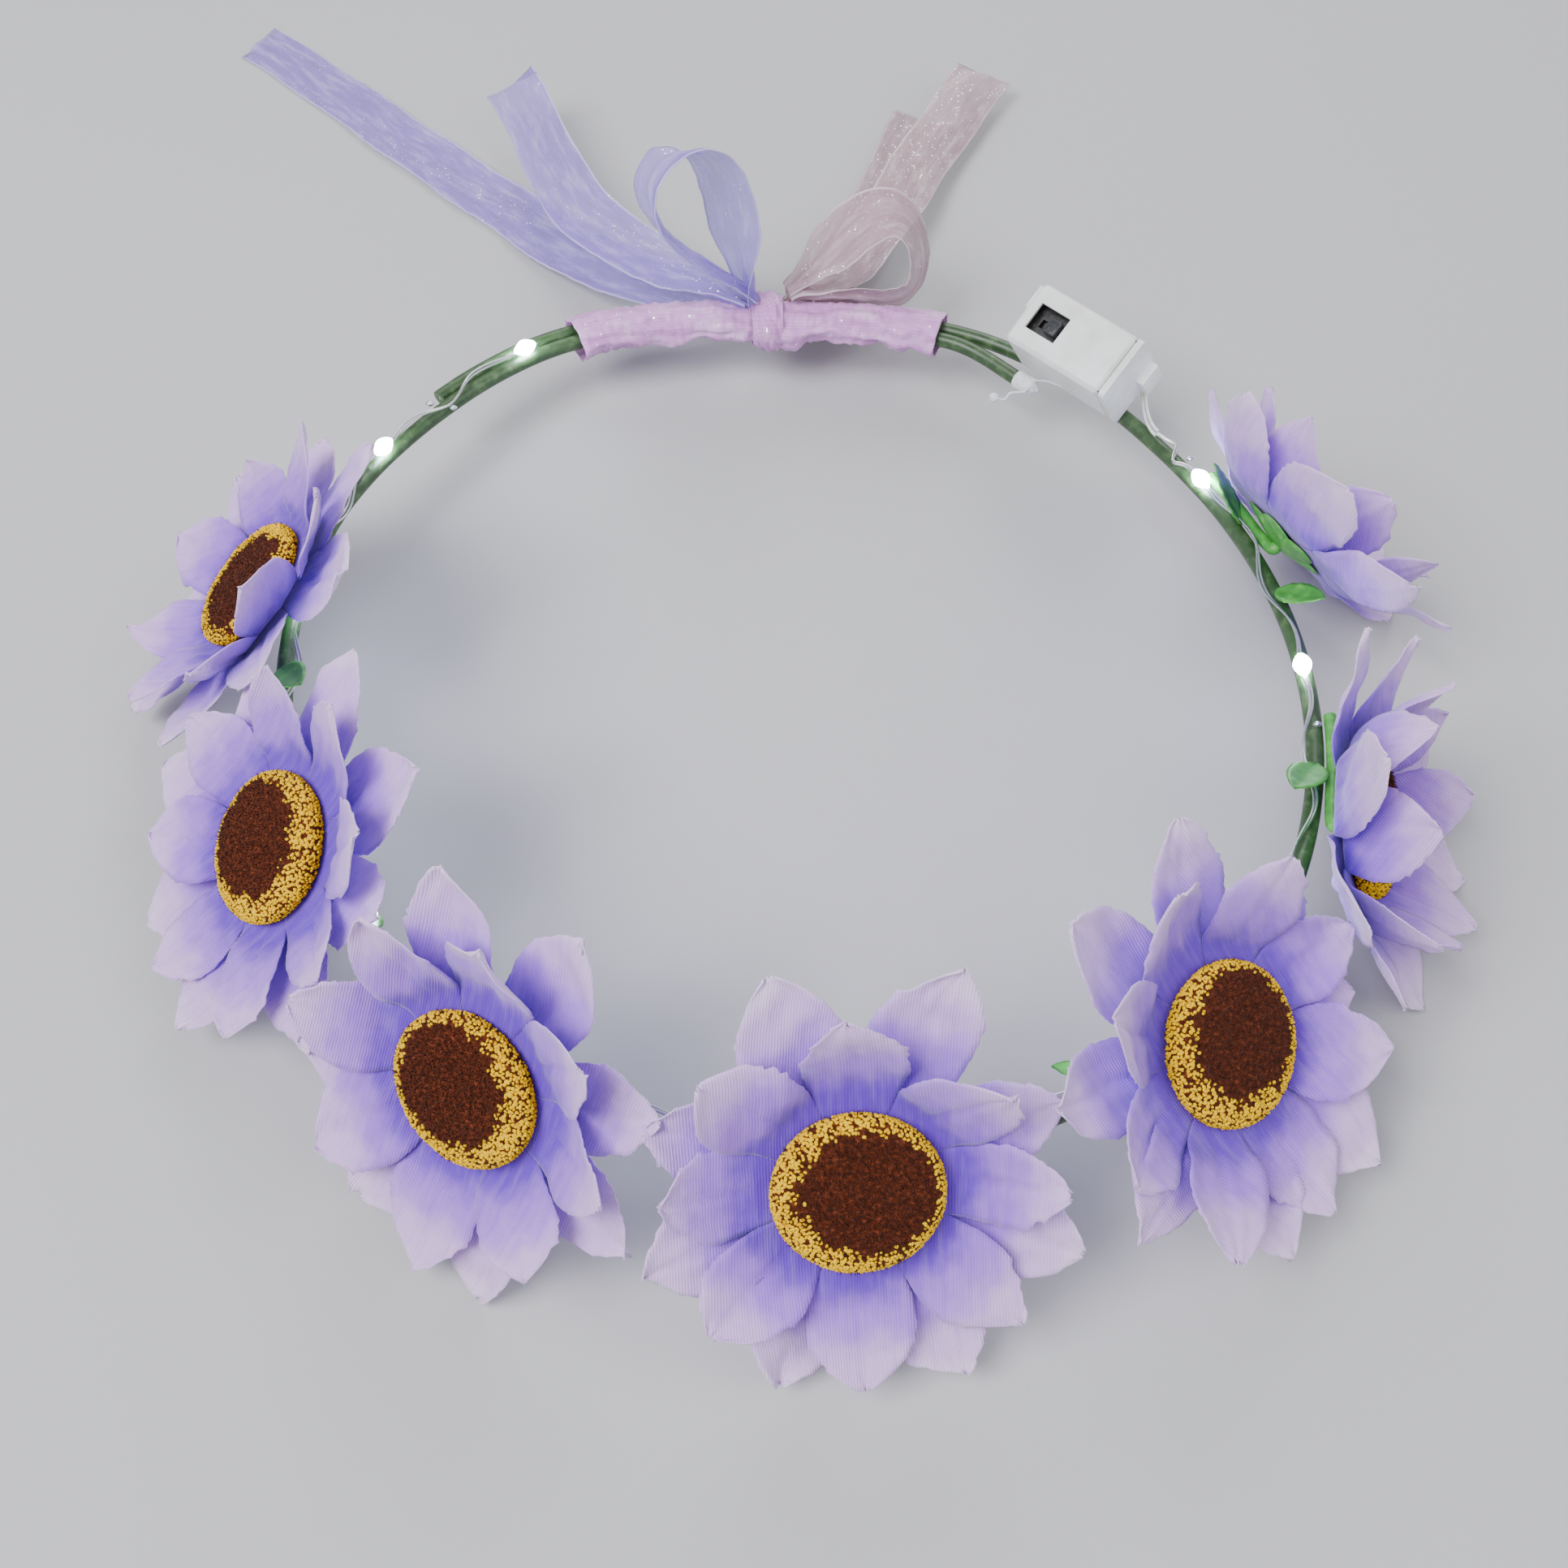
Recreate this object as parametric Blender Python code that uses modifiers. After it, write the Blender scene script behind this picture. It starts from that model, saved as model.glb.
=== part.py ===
"""Light-up flower crown: a lapped wire hoop carrying seven fabric daisies, a string of small
lamps with its battery box, and a ribbon bow tied over the lap.

Units are metres and degrees. The origin is the middle of the hoop, on the surface the crown
stands on; +Z is up, -Y is the front of the crown and the bow is at +Y.
Azimuths turn anticlockwise from +X, seen from above.
"""
import math

import bmesh
import bpy
from mathutils import Matrix, Vector

GAP = 0.0003                      # clearance between pieces that touch

# Hoop: a green sleeve on a steel wire, bent to a head-shaped oval and lapped at the back
HOOP_LONG_RADIUS = 0.0988
HOOP_SHORT_RADIUS = 0.0902
HOOP_LONG_AXIS = 115.0
HOOP_BACK = (93.2, 32.0, 0.0055)     # the lap is straighter: middle, half arc, depth
HOOP_HEIGHT = 0.0188              # middle of the hoop above the table
HOOP_TILT = 3.0                   # front of the hoop higher than its back
TUBE_DIAMETER = 0.0031
TUBE_WALL = 0.0007
CORE_DIAMETER = 0.0010
HOOP_START = 137.0                # first end of the wire, outside of the lap
HOOP_END = -305.0                 # second end, inside of the lap
LAP_EASE = 25.0                   # arc in which the wire moves over into the lap
END_SPRING = (14.0, 0.0030, 0.0008)      # last arc that springs free: arc, inwards, down
HOOP_SPANS = 50

# Flowers: azimuth on the wire, direction and elevation they face, cup of their petals
FLOWERS = (
    (-185.4, 179.0, 50.0, 8.0),
    (-150.3, 209.0, 48.0, 4.0),
    (-118.1, 237.0, 32.0, 4.0),
    (-85.0, 273.0, 37.0, 4.0),
    (-52.6, 317.0, 47.0, 6.0),
    (-24.0, 342.0, 26.0, 25.0),
    (13.6, 30.0, 34.0, 25.0),
)
FRONT_AZIMUTH = -90.0             # stems run from here back towards the bow on both sides
PETALS = 8                        # in each of the two layers
LAYER_THICKNESS = 0.0008
OUTER_REACH = (0.0350, 0.0286, 0.0345)   # petal tips: up, to the sides, down
INNER_REACH = (0.0310, 0.0270, 0.0300)
PETAL_NOTCH = 0.66                # where the petals part, as a share of their reach
INNER_EXTRA_CUP = 7.0
DISC_DIAMETER = 0.0246
DISC_HEIGHT = 0.0034
PEG_DIAMETER = 0.0030
CALYX_CLEARANCE = 0.00055         # calyx base above the stem
CALYX_HEIGHT = 0.0018
CALYX_FLOOR = 0.0005
CALYX_DIAMETER = 0.0190
CALYX_LOBES = 6
STEM_DIAMETER = 0.0022
STEM_ARC = 14.0                   # how far a stem lies along the hoop, towards the bow

# Lamp string: lamps as (azimuth, place round the tube: 0 outside, 90 top, 180 inside)
LAMPS = (
    (27.0, 105.0), (-4.0, 110.0), (-33.0, 128.0), (-63.0, 120.0), (-93.0, 128.0),
    (-116.0, 128.0), (-140.0, 122.0), (-163.0, 128.0), (-186.0, 135.0),
    (-211.5, 95.0), (-235.0, 90.0),
)
WIRE_DIAMETER = 0.0009
WIRE_JOIN = (36.4, 95.0)          # where the lead from the box meets the hoop
LEAD_PULL = 0.0055                # how far the lead keeps its direction at both ends
LAMP_LENGTH = 0.0046
LAMP_DIAMETER = 0.0030
LAMP_RISE = 0.00045               # lamp's middle above the wire
LAMP_HALF_ARC = 1.7

# Battery box, in its own axes: X along the hoop, Y outwards, Z through its switch face
BOX_AZIMUTH = 50.1
BOX_LEAN = 32.8                   # switch face turned in towards the middle of the crown
BOX_WALL = 0.00065
BOX_END_WALL = 0.0010
BOX_EDGE = 0.0009
CELL_EASE = (0.00035, 0.00025)    # room round the cells: across the box, through it
TUBE_ACROSS = -0.0036             # tube's middle across the box's bottom
TUBE_BOW = 0.0005                 # extra clearance, because the tube is curved
DOOR_PLATE = 0.0013
DOOR_PLUG = 0.00095
PULL_SIZE = (0.0018, 0.0056, 0.0052)
END_LIP = (0.0005, 0.0050, 0.0020)
CELL_DIAMETER = 0.0116
CELL_THICKNESS = 0.00305
CELLS = 3
CONTACT_THICKNESS = 0.0003
SPRING_ROOM = 0.0022
DIVIDER = 0.0006
SWITCH_ROOM = (0.0090, 0.0080, 0.0051)
WINDOW = (0.0074, 0.0058)
SWITCH_BODY = (0.0078, 0.0070, 0.0027)
GROOVE_WIDTH = 0.0018
GROOVE_DEPTH = 0.0015
KNOB_HEAD = (0.0030, 0.0034, 0.0020)
KNOB_FOOT_LENGTH = 0.0014
KNOB_TRAVEL = 0.0026
GLUE_DIAMETER = 0.0012
GLUE_HALF_ARC = 6.0
GLUE_RISE = 0.00115               # bead's middle beyond the tube's, across the box
LEAD_SIDE = 0.0049                # where the leads leave the box, across it

# Ribbon
RIBBON_WIDTH = 0.0140
RIBBON_THICKNESS = 0.0006
SLEEVE_FROM = 70.0
SLEEVE_TO = 118.0
SLEEVE_EASE = 0.00085             # room between the lapped wires and the ribbon round them
KNOT_AZIMUTH = 93.2
KNOT_LENGTH = 0.0060
KNOT_WALL = 0.0011
# Loops and tails: X and Y from the middle of the knot, Z from the table
LOOPS = {
    # name: (start, main axis, side axis, length, breadth)
    "bow_loop_left": ((-0.0031, 0.0013, 0.0205), (-0.456, 0.071, 0.887), (0.773, 0.524, 0.356), 0.035, 0.0185),
    "bow_loop_right": ((0.0060, 0.0040, 0.0205), (0.859, 0.494, 0.100), (-0.262, 0.192, 0.946), 0.032, 0.022),
}
TAILS = {
    "tail_left_long": ((-0.0100, 0.0095, 0.0120), (-0.0271, 0.0200, 0.0090), (-0.0430, 0.0331, 0.0050),
                       (-0.0609, 0.0511, 0.0022), (-0.0807, 0.0706, 0.0012), (-0.1065, 0.0964, 0.0006),
                       (-0.1340, 0.1218, 0.0005)),
    "tail_left_short": ((-0.0090, 0.0100, 0.0185), (-0.0285, 0.0220, 0.0150), (-0.0411, 0.0372, 0.0130),
                        (-0.0507, 0.0579, 0.0110), (-0.0575, 0.0740, 0.0105), (-0.0634, 0.0853, 0.0120)),
    "tail_right_long": ((0.0100, 0.0100, 0.0140), (0.0202, 0.0263, 0.0085), (0.0284, 0.0463, 0.0070),
                        (0.0381, 0.0685, 0.0055), (0.0470, 0.0860, 0.0055), (0.0540, 0.0988, 0.0065)),
    "tail_right_short": ((0.0040, 0.0100, 0.0095), (0.0101, 0.0177, 0.0060), (0.0178, 0.0343, 0.0035),
                         (0.0250, 0.0528, 0.0022), (0.0316, 0.0709, 0.0013), (0.0374, 0.0892, 0.0006)),
}
TAIL_GATHER = 0.0050              # width of a tail where it comes out of the knot

# Worked out from the sizes above
CALYX_STANDOFF = TUBE_DIAMETER / 2 + GAP + STEM_DIAMETER + CALYX_CLEARANCE
CALYX_TOP = CALYX_STANDOFF + CALYX_HEIGHT
LAYER_STEP = LAYER_THICKNESS + GAP
OUTER_SEAT = CALYX_TOP + GAP
INNER_SEAT = OUTER_SEAT + LAYER_STEP
DISC_SEAT = INNER_SEAT + LAYER_STEP
BORE_RADIUS = PEG_DIAMETER / 2 + GAP
WIRE_STANDOFF = TUBE_DIAMETER / 2 + GAP + LAMP_DIAMETER / 2 - LAMP_RISE
SLEEVE_BORE = (TUBE_DIAMETER + GAP / 2 + SLEEVE_EASE, TUBE_DIAMETER / 2 + SLEEVE_EASE)

CELL_STACK = CELLS * CELL_THICKNESS + (CELLS - 1) * GAP
DOOR_DEPTH = DOOR_PLATE + DOOR_PLUG + GAP + CONTACT_THICKNESS + GAP
BOX_LENGTH = BOX_END_WALL + SWITCH_ROOM[0] + DIVIDER + SPRING_ROOM + CELL_STACK + DOOR_DEPTH
BOX_WIDTH = CELL_DIAMETER + 2 * (CELL_EASE[0] + BOX_WALL)
BOX_THICKNESS = CELL_DIAMETER + 2 * (CELL_EASE[1] + BOX_WALL)
HALF_LENGTH, HALF_WIDTH, HALF_DEPTH = BOX_LENGTH / 2, BOX_WIDTH / 2, BOX_THICKNESS / 2
CASE_END = HALF_LENGTH - DOOR_PLATE - GAP
PLUG_END = CASE_END + GAP - DOOR_PLUG
PLATE_END = PLUG_END - GAP
STACK_END = PLATE_END - CONTACT_THICKNESS - GAP
STACK_START = STACK_END - CELL_STACK
CELL_BAY_START = STACK_START - SPRING_ROOM
SWITCH_BAY_END = CELL_BAY_START - DIVIDER
BAY_HALF_WIDTH = HALF_WIDTH - BOX_WALL
BAY_HALF_DEPTH = HALF_DEPTH - BOX_WALL
SWITCH_FLOOR = BAY_HALF_DEPTH - SWITCH_ROOM[2]
SWITCH_TOP = SWITCH_FLOOR + GAP + SWITCH_BODY[2]
KNOB_MIDDLE = SWITCH_BAY_END - GAP - KNOB_HEAD[0] * 0.8
LEAD_END = PLATE_END - WIRE_DIAMETER

COLOURS = {
    "petal": ((0.60, 0.50, 0.86), 0.75, 0.0), "disc": ((0.10, 0.025, 0.015), 0.95, 0.0),
    "calyx": ((0.11, 0.42, 0.08), 0.45, 0.0), "hoop": ((0.06, 0.14, 0.05), 0.4, 0.0),
    "steel": ((0.55, 0.55, 0.56), 0.35, 1.0), "wire": ((0.75, 0.76, 0.78), 0.35, 0.3),
    "lamp": ((0.92, 0.95, 1.00), 0.2, 0.0), "case": ((0.88, 0.89, 0.88), 0.35, 0.0),
    "switch": ((0.03, 0.03, 0.035), 0.4, 0.0), "contact": ((0.62, 0.60, 0.55), 0.3, 1.0),
    "glue": ((0.85, 0.87, 0.85), 0.25, 0.0), "ribbon": ((0.72, 0.58, 0.80), 0.5, 0.0),
}


# ---------------------------------------------------------------- scene and helpers

def start_collections():
    """Empty the scene and make the crown's and the cutters' collections."""
    for existing in list(bpy.data.objects):
        bpy.data.objects.remove(existing, do_unlink=True)
    made = []
    for name in ("flower_crown", "cutters"):
        collection = bpy.data.collections.new(name)
        bpy.context.scene.collection.children.link(collection)
        made.append(collection)
    return made


CROWN, CUTTERS = start_collections()


def material(slot):
    """Return the slot's material, made the first time it is asked for."""
    found = bpy.data.materials.get(slot)
    if found:
        return found
    colour, roughness, metallic = COLOURS[slot]
    made = bpy.data.materials.new(slot)
    made.use_nodes = True
    shader = made.node_tree.nodes["Principled BSDF"]
    shader.inputs["Base Color"].default_value = (*colour, 1.0)
    shader.inputs["Roughness"].default_value = roughness
    shader.inputs["Metallic"].default_value = metallic
    made.diffuse_color = (*colour, 1.0)
    return made


def add_object(name, mesh, slot=None, parent=None, matrix=None):
    """Put a mesh in the crown's collection, or in the cutters' when it has no slot."""
    made = bpy.data.objects.new(name, mesh)
    if slot:
        CROWN.objects.link(made)
        if not mesh.materials:
            mesh.materials.append(material(slot))
    else:
        CUTTERS.objects.link(made)
        made.hide_render = True
        made.display_type = "WIRE"
    made.parent = parent
    if matrix:
        made.matrix_local = matrix
    return made


def add_empty(name, matrix, parent=None):
    """Add a guide frame."""
    made = bpy.data.objects.new(name, None)
    CUTTERS.objects.link(made)
    made.parent = parent
    made.matrix_local = matrix
    made.empty_display_size = 0.01
    return made


def frame_matrix(origin, x_axis, y_axis, z_axis):
    """Matrix of a frame from its origin and its three unit axes."""
    turned = Matrix((x_axis, y_axis, z_axis)).transposed().to_4x4()
    return Matrix.Translation(origin) @ turned


def mesh_from(name, bm, smooth_angle=35.0):
    """Finish a bmesh as a mesh, shaded smooth up to an angle."""
    bmesh.ops.recalc_face_normals(bm, faces=bm.faces)
    mesh = bpy.data.meshes.new(name)
    bm.to_mesh(mesh)
    bm.free()
    mesh.shade_smooth()
    mesh.set_sharp_from_angle(angle=math.radians(smooth_angle))
    return mesh


def box_mesh(name, low, high, edge=0.0):
    """Box between two corners, with its edges chamfered when edge is given."""
    size = [top - bottom for bottom, top in zip(low, high)]
    middle = [(top + bottom) / 2 for bottom, top in zip(low, high)]
    bm = bmesh.new()
    place = Matrix.Translation(middle) @ Matrix.Diagonal((*size, 1.0))
    bmesh.ops.create_cube(bm, size=1.0, matrix=place)
    if edge:
        bmesh.ops.bevel(bm, geom=bm.edges[:], offset=edge, segments=1, affect="EDGES")
    return mesh_from(name, bm)


def grid_surface(name, rings, closed_rings=True, closed_rows=False):
    """Open surface through rings of points, one ring after the other."""
    bm = bmesh.new()
    rows = [[bm.verts.new(point) for point in ring] for ring in rings]
    row_pairs = list(zip(rows, rows[1:]))
    if closed_rows:
        row_pairs.append((rows[-1], rows[0]))
    for first, second in row_pairs:
        count = len(first)
        for i in range(count if closed_rings else count - 1):
            j = (i + 1) % count
            bm.faces.new((first[i], first[j], second[j], second[i]))
    return mesh_from(name, bm)


def thicken(target, thickness, offset=-1.0):
    """Give an open surface its wall."""
    wall = target.modifiers.new("wall", "SOLIDIFY")
    wall.thickness = thickness
    wall.offset = offset
    wall.use_even_offset = False
    return target


def combine(target, operand, operation):
    """Cut or join one object with another."""
    step = target.modifiers.new(operation.lower(), "BOOLEAN")
    step.operation = operation
    step.object = operand
    step.solver = "EXACT"


def evaluated_mesh(source):
    """The mesh that an object's curve or modifiers give."""
    bpy.context.view_layer.update()
    return bpy.data.meshes.new_from_object(source.evaluated_get(bpy.context.evaluated_depsgraph_get()))


def tube_mesh(name, points, diameter, resolution=2, caps=True):
    """Round tube along a polyline, as a closed mesh, or an open one without caps."""
    curve = bpy.data.curves.new(name, "CURVE")
    curve.dimensions = "3D"
    curve.bevel_depth = diameter / 2
    curve.bevel_resolution = resolution
    curve.use_fill_caps = caps
    spline = curve.splines.new("POLY")
    spline.points.add(len(points) - 1)
    for place, point in zip(spline.points, points):
        place.co = (*point, 1.0)
    guide = bpy.data.objects.new(name, curve)
    CUTTERS.objects.link(guide)
    mesh = evaluated_mesh(guide)
    bpy.data.objects.remove(guide)
    bpy.data.curves.remove(curve)
    bm = bmesh.new()
    bm.from_mesh(mesh)
    bmesh.ops.remove_doubles(bm, verts=bm.verts, dist=1e-6)
    bpy.data.meshes.remove(mesh)
    return mesh_from(name, bm, 50.0)


def turned_mesh(name, profile, segments):
    """Solid turned about Z from (radius, height) points; points with no radius close it."""
    bm = bmesh.new()
    rings = []
    for radius, height in profile:
        if radius == 0:
            rings.append([bm.verts.new((0, 0, height))])
            continue
        angles = [2 * math.pi * i / segments for i in range(segments)]
        rings.append([bm.verts.new((radius * math.cos(a), radius * math.sin(a), height)) for a in angles])
    for first, second in zip(rings, rings[1:]):
        for i in range(segments):
            j = (i + 1) % segments
            corners = [first[i % len(first)], first[j % len(first)],
                       second[j % len(second)], second[i % len(second)]]
            bm.faces.new(list(dict.fromkeys(corners)))
    return mesh_from(name, bm)


def ease(share):
    """Smooth step from 0 to 1."""
    share = min(max(share, 0.0), 1.0)
    return share * share * (3 - 2 * share)


# ---------------------------------------------------------------- hoop

def hoop_point(azimuth, out=0.0, up=0.0):
    """Point beside the hoop's oval, in the hoop's own frame."""
    turn = math.radians(azimuth - HOOP_LONG_AXIS)
    flat = math.hypot(HOOP_SHORT_RADIUS * math.cos(turn), HOOP_LONG_RADIUS * math.sin(turn))
    from_back = abs((azimuth - HOOP_BACK[0] + 180) % 360 - 180)
    dip = HOOP_BACK[2] * math.cos(math.radians(90 * min(from_back / HOOP_BACK[1], 1))) ** 2
    radius = HOOP_LONG_RADIUS * HOOP_SHORT_RADIUS / flat - dip + out
    angle = math.radians(azimuth)
    return Vector((radius * math.cos(angle), radius * math.sin(angle), up))


def lap_offset(azimuth):
    """How far the wire lies off the oval: outside at its first end, inside at its second."""
    side = TUBE_DIAMETER / 2 + GAP / 2
    first = ease((azimuth - (HOOP_END + 360 - LAP_EASE)) / LAP_EASE)
    second = ease(((HOOP_START - 360 + LAP_EASE) - azimuth) / LAP_EASE)
    return side * (first - second) - end_spring(azimuth) * END_SPRING[1]


def end_spring(azimuth):
    """Share of the second end's spring at an azimuth."""
    return ease((HOOP_END + END_SPRING[0] - azimuth) / END_SPRING[0])


def tube_middle(azimuth):
    """Middle of the hoop's wire; azimuth runs on from HOOP_START down to HOOP_END."""
    return hoop_point(azimuth, lap_offset(azimuth), -end_spring(azimuth) * END_SPRING[2])


def beside_tube(azimuth, clock, distance):
    """Point at a distance from the wire's middle, at a clock angle round it."""
    turn = math.radians(clock)
    out = lap_offset(azimuth) + distance * math.cos(turn)
    return hoop_point(azimuth, out, distance * math.sin(turn))


def make_hoop(parent):
    """Green sleeve with the steel wire inside it."""
    step = (HOOP_END - HOOP_START) / HOOP_SPANS
    points = [tube_middle(HOOP_START + step * i) for i in range(HOOP_SPANS + 1)]
    sleeve = tube_mesh("hoop_tube", points, TUBE_DIAMETER, caps=False)
    thicken(add_object("hoop_tube", sleeve, "hoop", parent), TUBE_WALL)
    core = tube_mesh("hoop_core_wire", points, CORE_DIAMETER, resolution=1)
    add_object("hoop_core_wire", core, "steel", parent)


# ---------------------------------------------------------------- flowers

def flower_frame(azimuth, facing, elevation):
    """Frame with Z along the flower's axis and Y up its face, on the hoop's wire."""
    turn, lift = math.radians(facing), math.radians(elevation)
    z_axis = Vector((math.cos(lift) * math.cos(turn), math.cos(lift) * math.sin(turn), math.sin(lift)))
    y_axis = Vector((-math.sin(lift) * math.cos(turn), -math.sin(lift) * math.sin(turn), math.cos(lift)))
    return frame_matrix(tube_middle(azimuth), y_axis.cross(z_axis), y_axis, z_axis)


def reach_towards(reach, angle):
    """Petal reach at an angle from the top of the flower."""
    up, side, down = reach
    lengthwise = up if math.cos(angle) > 0 else down
    share = abs(math.sin(angle)) ** 3
    return lengthwise + (side - lengthwise) * share


def rosette_mesh(name, reach, cup, phase, seat):
    """One cut layer of petals: flat under the disc, cupped beyond it, bored for the peg."""
    flat = DISC_DIAMETER / 2 + GAP
    slope = math.radians(cup)
    rings = []
    for share in (None, 0.0, 0.42, 1.0):
        ring = []
        for i in range(2 * PETALS):
            angle = math.pi * (i + phase) / PETALS
            if share is None:
                radius, height = BORE_RADIUS / math.cos(math.pi / (2 * PETALS)), 0.0
            else:
                tip = reach_towards(reach, angle)
                end = tip if i % 2 == 0 else tip * PETAL_NOTCH
                run = share * (end - flat)
                radius, height = flat + run * math.cos(slope), run * math.sin(slope)
            ring.append((radius * math.sin(angle), radius * math.cos(angle), seat + height))
        rings.append(ring)
    return grid_surface(name, rings)


def calyx_mesh(name):
    """Lobed green cup with a blind socket for the disc's peg."""
    base, top = CALYX_STANDOFF, CALYX_TOP
    lobe = CALYX_DIAMETER / 2
    socket = BORE_RADIUS / math.cos(math.pi / (2 * CALYX_LOBES))
    neck = socket + CALYX_FLOOR / 3
    floor = base + CALYX_FLOOR
    rings = ((neck, neck, base), (lobe * 0.55, lobe * 0.42, base + CALYX_HEIGHT * 0.3),
             (lobe, lobe * 0.62, top - CALYX_FLOOR), (lobe, lobe * 0.62, top),
             (socket, socket, top), (socket, socket, floor))
    count = 2 * CALYX_LOBES
    bm = bmesh.new()
    rows = []
    for tip, valley, height in rings:
        row = []
        for i in range(count):
            angle = 2 * math.pi * i / count
            radius = tip if i % 2 == 0 else valley
            row.append(bm.verts.new((radius * math.cos(angle), radius * math.sin(angle), height)))
        rows.append(row)
    for first, second in zip(rows, rows[1:]):
        for i in range(count):
            j = (i + 1) % count
            bm.faces.new((first[i], first[j], second[j], second[i]))
    bm.faces.new(rows[0])
    bm.faces.new(rows[-1])
    return mesh_from(name, bm)


def stem_points(matrix, azimuth, towards_bow):
    """Stem's middle line in the flower's frame: along the hoop, then up into the calyx."""
    to_flower = matrix.inverted()
    beside = TUBE_DIAMETER / 2 + GAP + STEM_DIAMETER / 2
    z_axis = matrix.to_3x3().col[2]
    elevation = math.degrees(math.asin(z_axis.z))
    points = []
    for share in (1.0, 0.75, 0.5, 0.28):
        along = azimuth + towards_bow * STEM_ARC * share
        points.append(to_flower @ beside_tube(along, elevation, beside))
    near = points[-1]
    foot = Vector((near.x * 0.35, near.y * 0.2, beside * 1.06))
    return points + [foot, Vector((0, 0, CALYX_STANDOFF - CALYX_FLOOR)),
                     Vector((0, 0, CALYX_STANDOFF + CALYX_FLOOR / 2))]


def disc_mesh():
    """Domed centre with the peg that holds the flower together."""
    radius = DISC_DIAMETER / 2
    peg = PEG_DIAMETER / 2
    seat, top = DISC_SEAT, DISC_SEAT + DISC_HEIGHT
    peg_end = CALYX_STANDOFF + CALYX_FLOOR + GAP
    profile = ((0, peg_end), (peg, peg_end), (peg, seat), (radius * 0.96, seat),
               (radius, seat + DISC_HEIGHT * 0.4), (radius * 0.86, seat + DISC_HEIGHT * 0.82),
               (radius * 0.5, top), (0, top + DISC_HEIGHT * 0.04))
    return turned_mesh("flower_disc", profile, 2 * CALYX_LOBES)


def make_flower(number, azimuth, facing, elevation, cup, disc, parent):
    """Calyx with its stem, two petal layers and the disc of one flower."""
    matrix = flower_frame(azimuth, facing, elevation)
    frame = add_empty("flower_%d_frame" % number, matrix, parent)
    towards_bow = 1 if azimuth > FRONT_AZIMUTH else -1
    name = "flower_%d_" % number
    stem = tube_mesh(name + "stem", stem_points(matrix, azimuth, towards_bow), STEM_DIAMETER, resolution=1)
    stem_object = add_object(name + "stem", stem, None, frame)
    calyx = add_object(name + "calyx", calyx_mesh(name + "calyx"), "calyx", frame)
    combine(calyx, stem_object, "UNION")
    top = OUTER_SEAT + LAYER_THICKNESS
    outer = rosette_mesh(name + "petals_outer", OUTER_REACH, cup, 1, top)
    thicken(add_object(name + "petals_outer", outer, "petal", frame), LAYER_THICKNESS)
    inner = rosette_mesh(name + "petals_inner", INNER_REACH, cup + INNER_EXTRA_CUP, 0, top + LAYER_STEP)
    thicken(add_object(name + "petals_inner", inner, "petal", frame), LAYER_THICKNESS)
    add_object(name + "disc", disc, "disc", frame)


# ---------------------------------------------------------------- lamp string

def bezier(start, start_pull, end_pull, end, share):
    """Point on a cubic curve."""
    back = 1 - share
    return (start * back ** 3 + start_pull * 3 * back ** 2 * share
            + end_pull * 3 * back * share ** 2 + end * share ** 3)


def lamp_mesh():
    """Clear droplet bored for the wire that it is soldered to."""
    bm = bmesh.new()
    size = Matrix.Diagonal((LAMP_LENGTH / 2, LAMP_DIAMETER / 2, LAMP_DIAMETER / 2, 1.0))
    place = Matrix.Translation((0, 0, LAMP_RISE)) @ size @ Matrix.Rotation(math.pi / 2, 4, "Y")
    bmesh.ops.create_uvsphere(bm, u_segments=8, v_segments=6, radius=1.0, matrix=place)
    bead = add_object("lamp_blank", mesh_from("lamp_blank", bm), None)
    bore = bmesh.new()
    bmesh.ops.create_cone(bore, cap_ends=True, segments=8, radius1=WIRE_DIAMETER / 2 + GAP,
                          radius2=WIRE_DIAMETER / 2 + GAP, depth=2 * LAMP_LENGTH,
                          matrix=Matrix.Rotation(math.pi / 2, 4, "Y"))
    cutter = add_object("lamp_bore", mesh_from("lamp_bore", bore), None)
    combine(bead, cutter, "DIFFERENCE")
    mesh = evaluated_mesh(bead)
    bpy.data.objects.remove(bead)
    bpy.data.objects.remove(cutter)
    return mesh


def wire_points(box):
    """Middle line of the lamp string, from the box's corner round to the last lamp."""
    floor = -BOX_THICKNESS / 2
    inside = box @ Vector((LEAD_END, LEAD_SIDE, floor + 2.5 * BOX_WALL))
    outside = box @ Vector((LEAD_END, LEAD_SIDE, floor - 2 * BOX_WALL))
    join = beside_tube(*WIRE_JOIN, WIRE_STANDOFF)
    onward = (beside_tube(WIRE_JOIN[0] - 2.0, WIRE_JOIN[1], WIRE_STANDOFF) - join).normalized()
    drop = outside + (outside - inside).normalized() * LEAD_PULL
    points = [inside] + [bezier(outside, drop, join - onward * LEAD_PULL, join, i / 5) for i in range(6)]
    places = [WIRE_JOIN]
    for azimuth, clock in LAMPS:
        last_azimuth, last_clock = places[-1]
        spans = max(2, round((last_azimuth - azimuth) / 4.6))
        for i in range(1, spans):
            share = i / spans
            middle = (last_azimuth - 1.0 + (azimuth + LAMP_HALF_ARC - last_azimuth + 1.0) * share,
                      last_clock + (clock - last_clock) * ease(share))
            places.append(middle)
        places += [(azimuth + LAMP_HALF_ARC, clock), (azimuth - LAMP_HALF_ARC, clock)]
    points += [beside_tube(azimuth, clock, WIRE_STANDOFF) for azimuth, clock in places[1:]]
    return points


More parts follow.
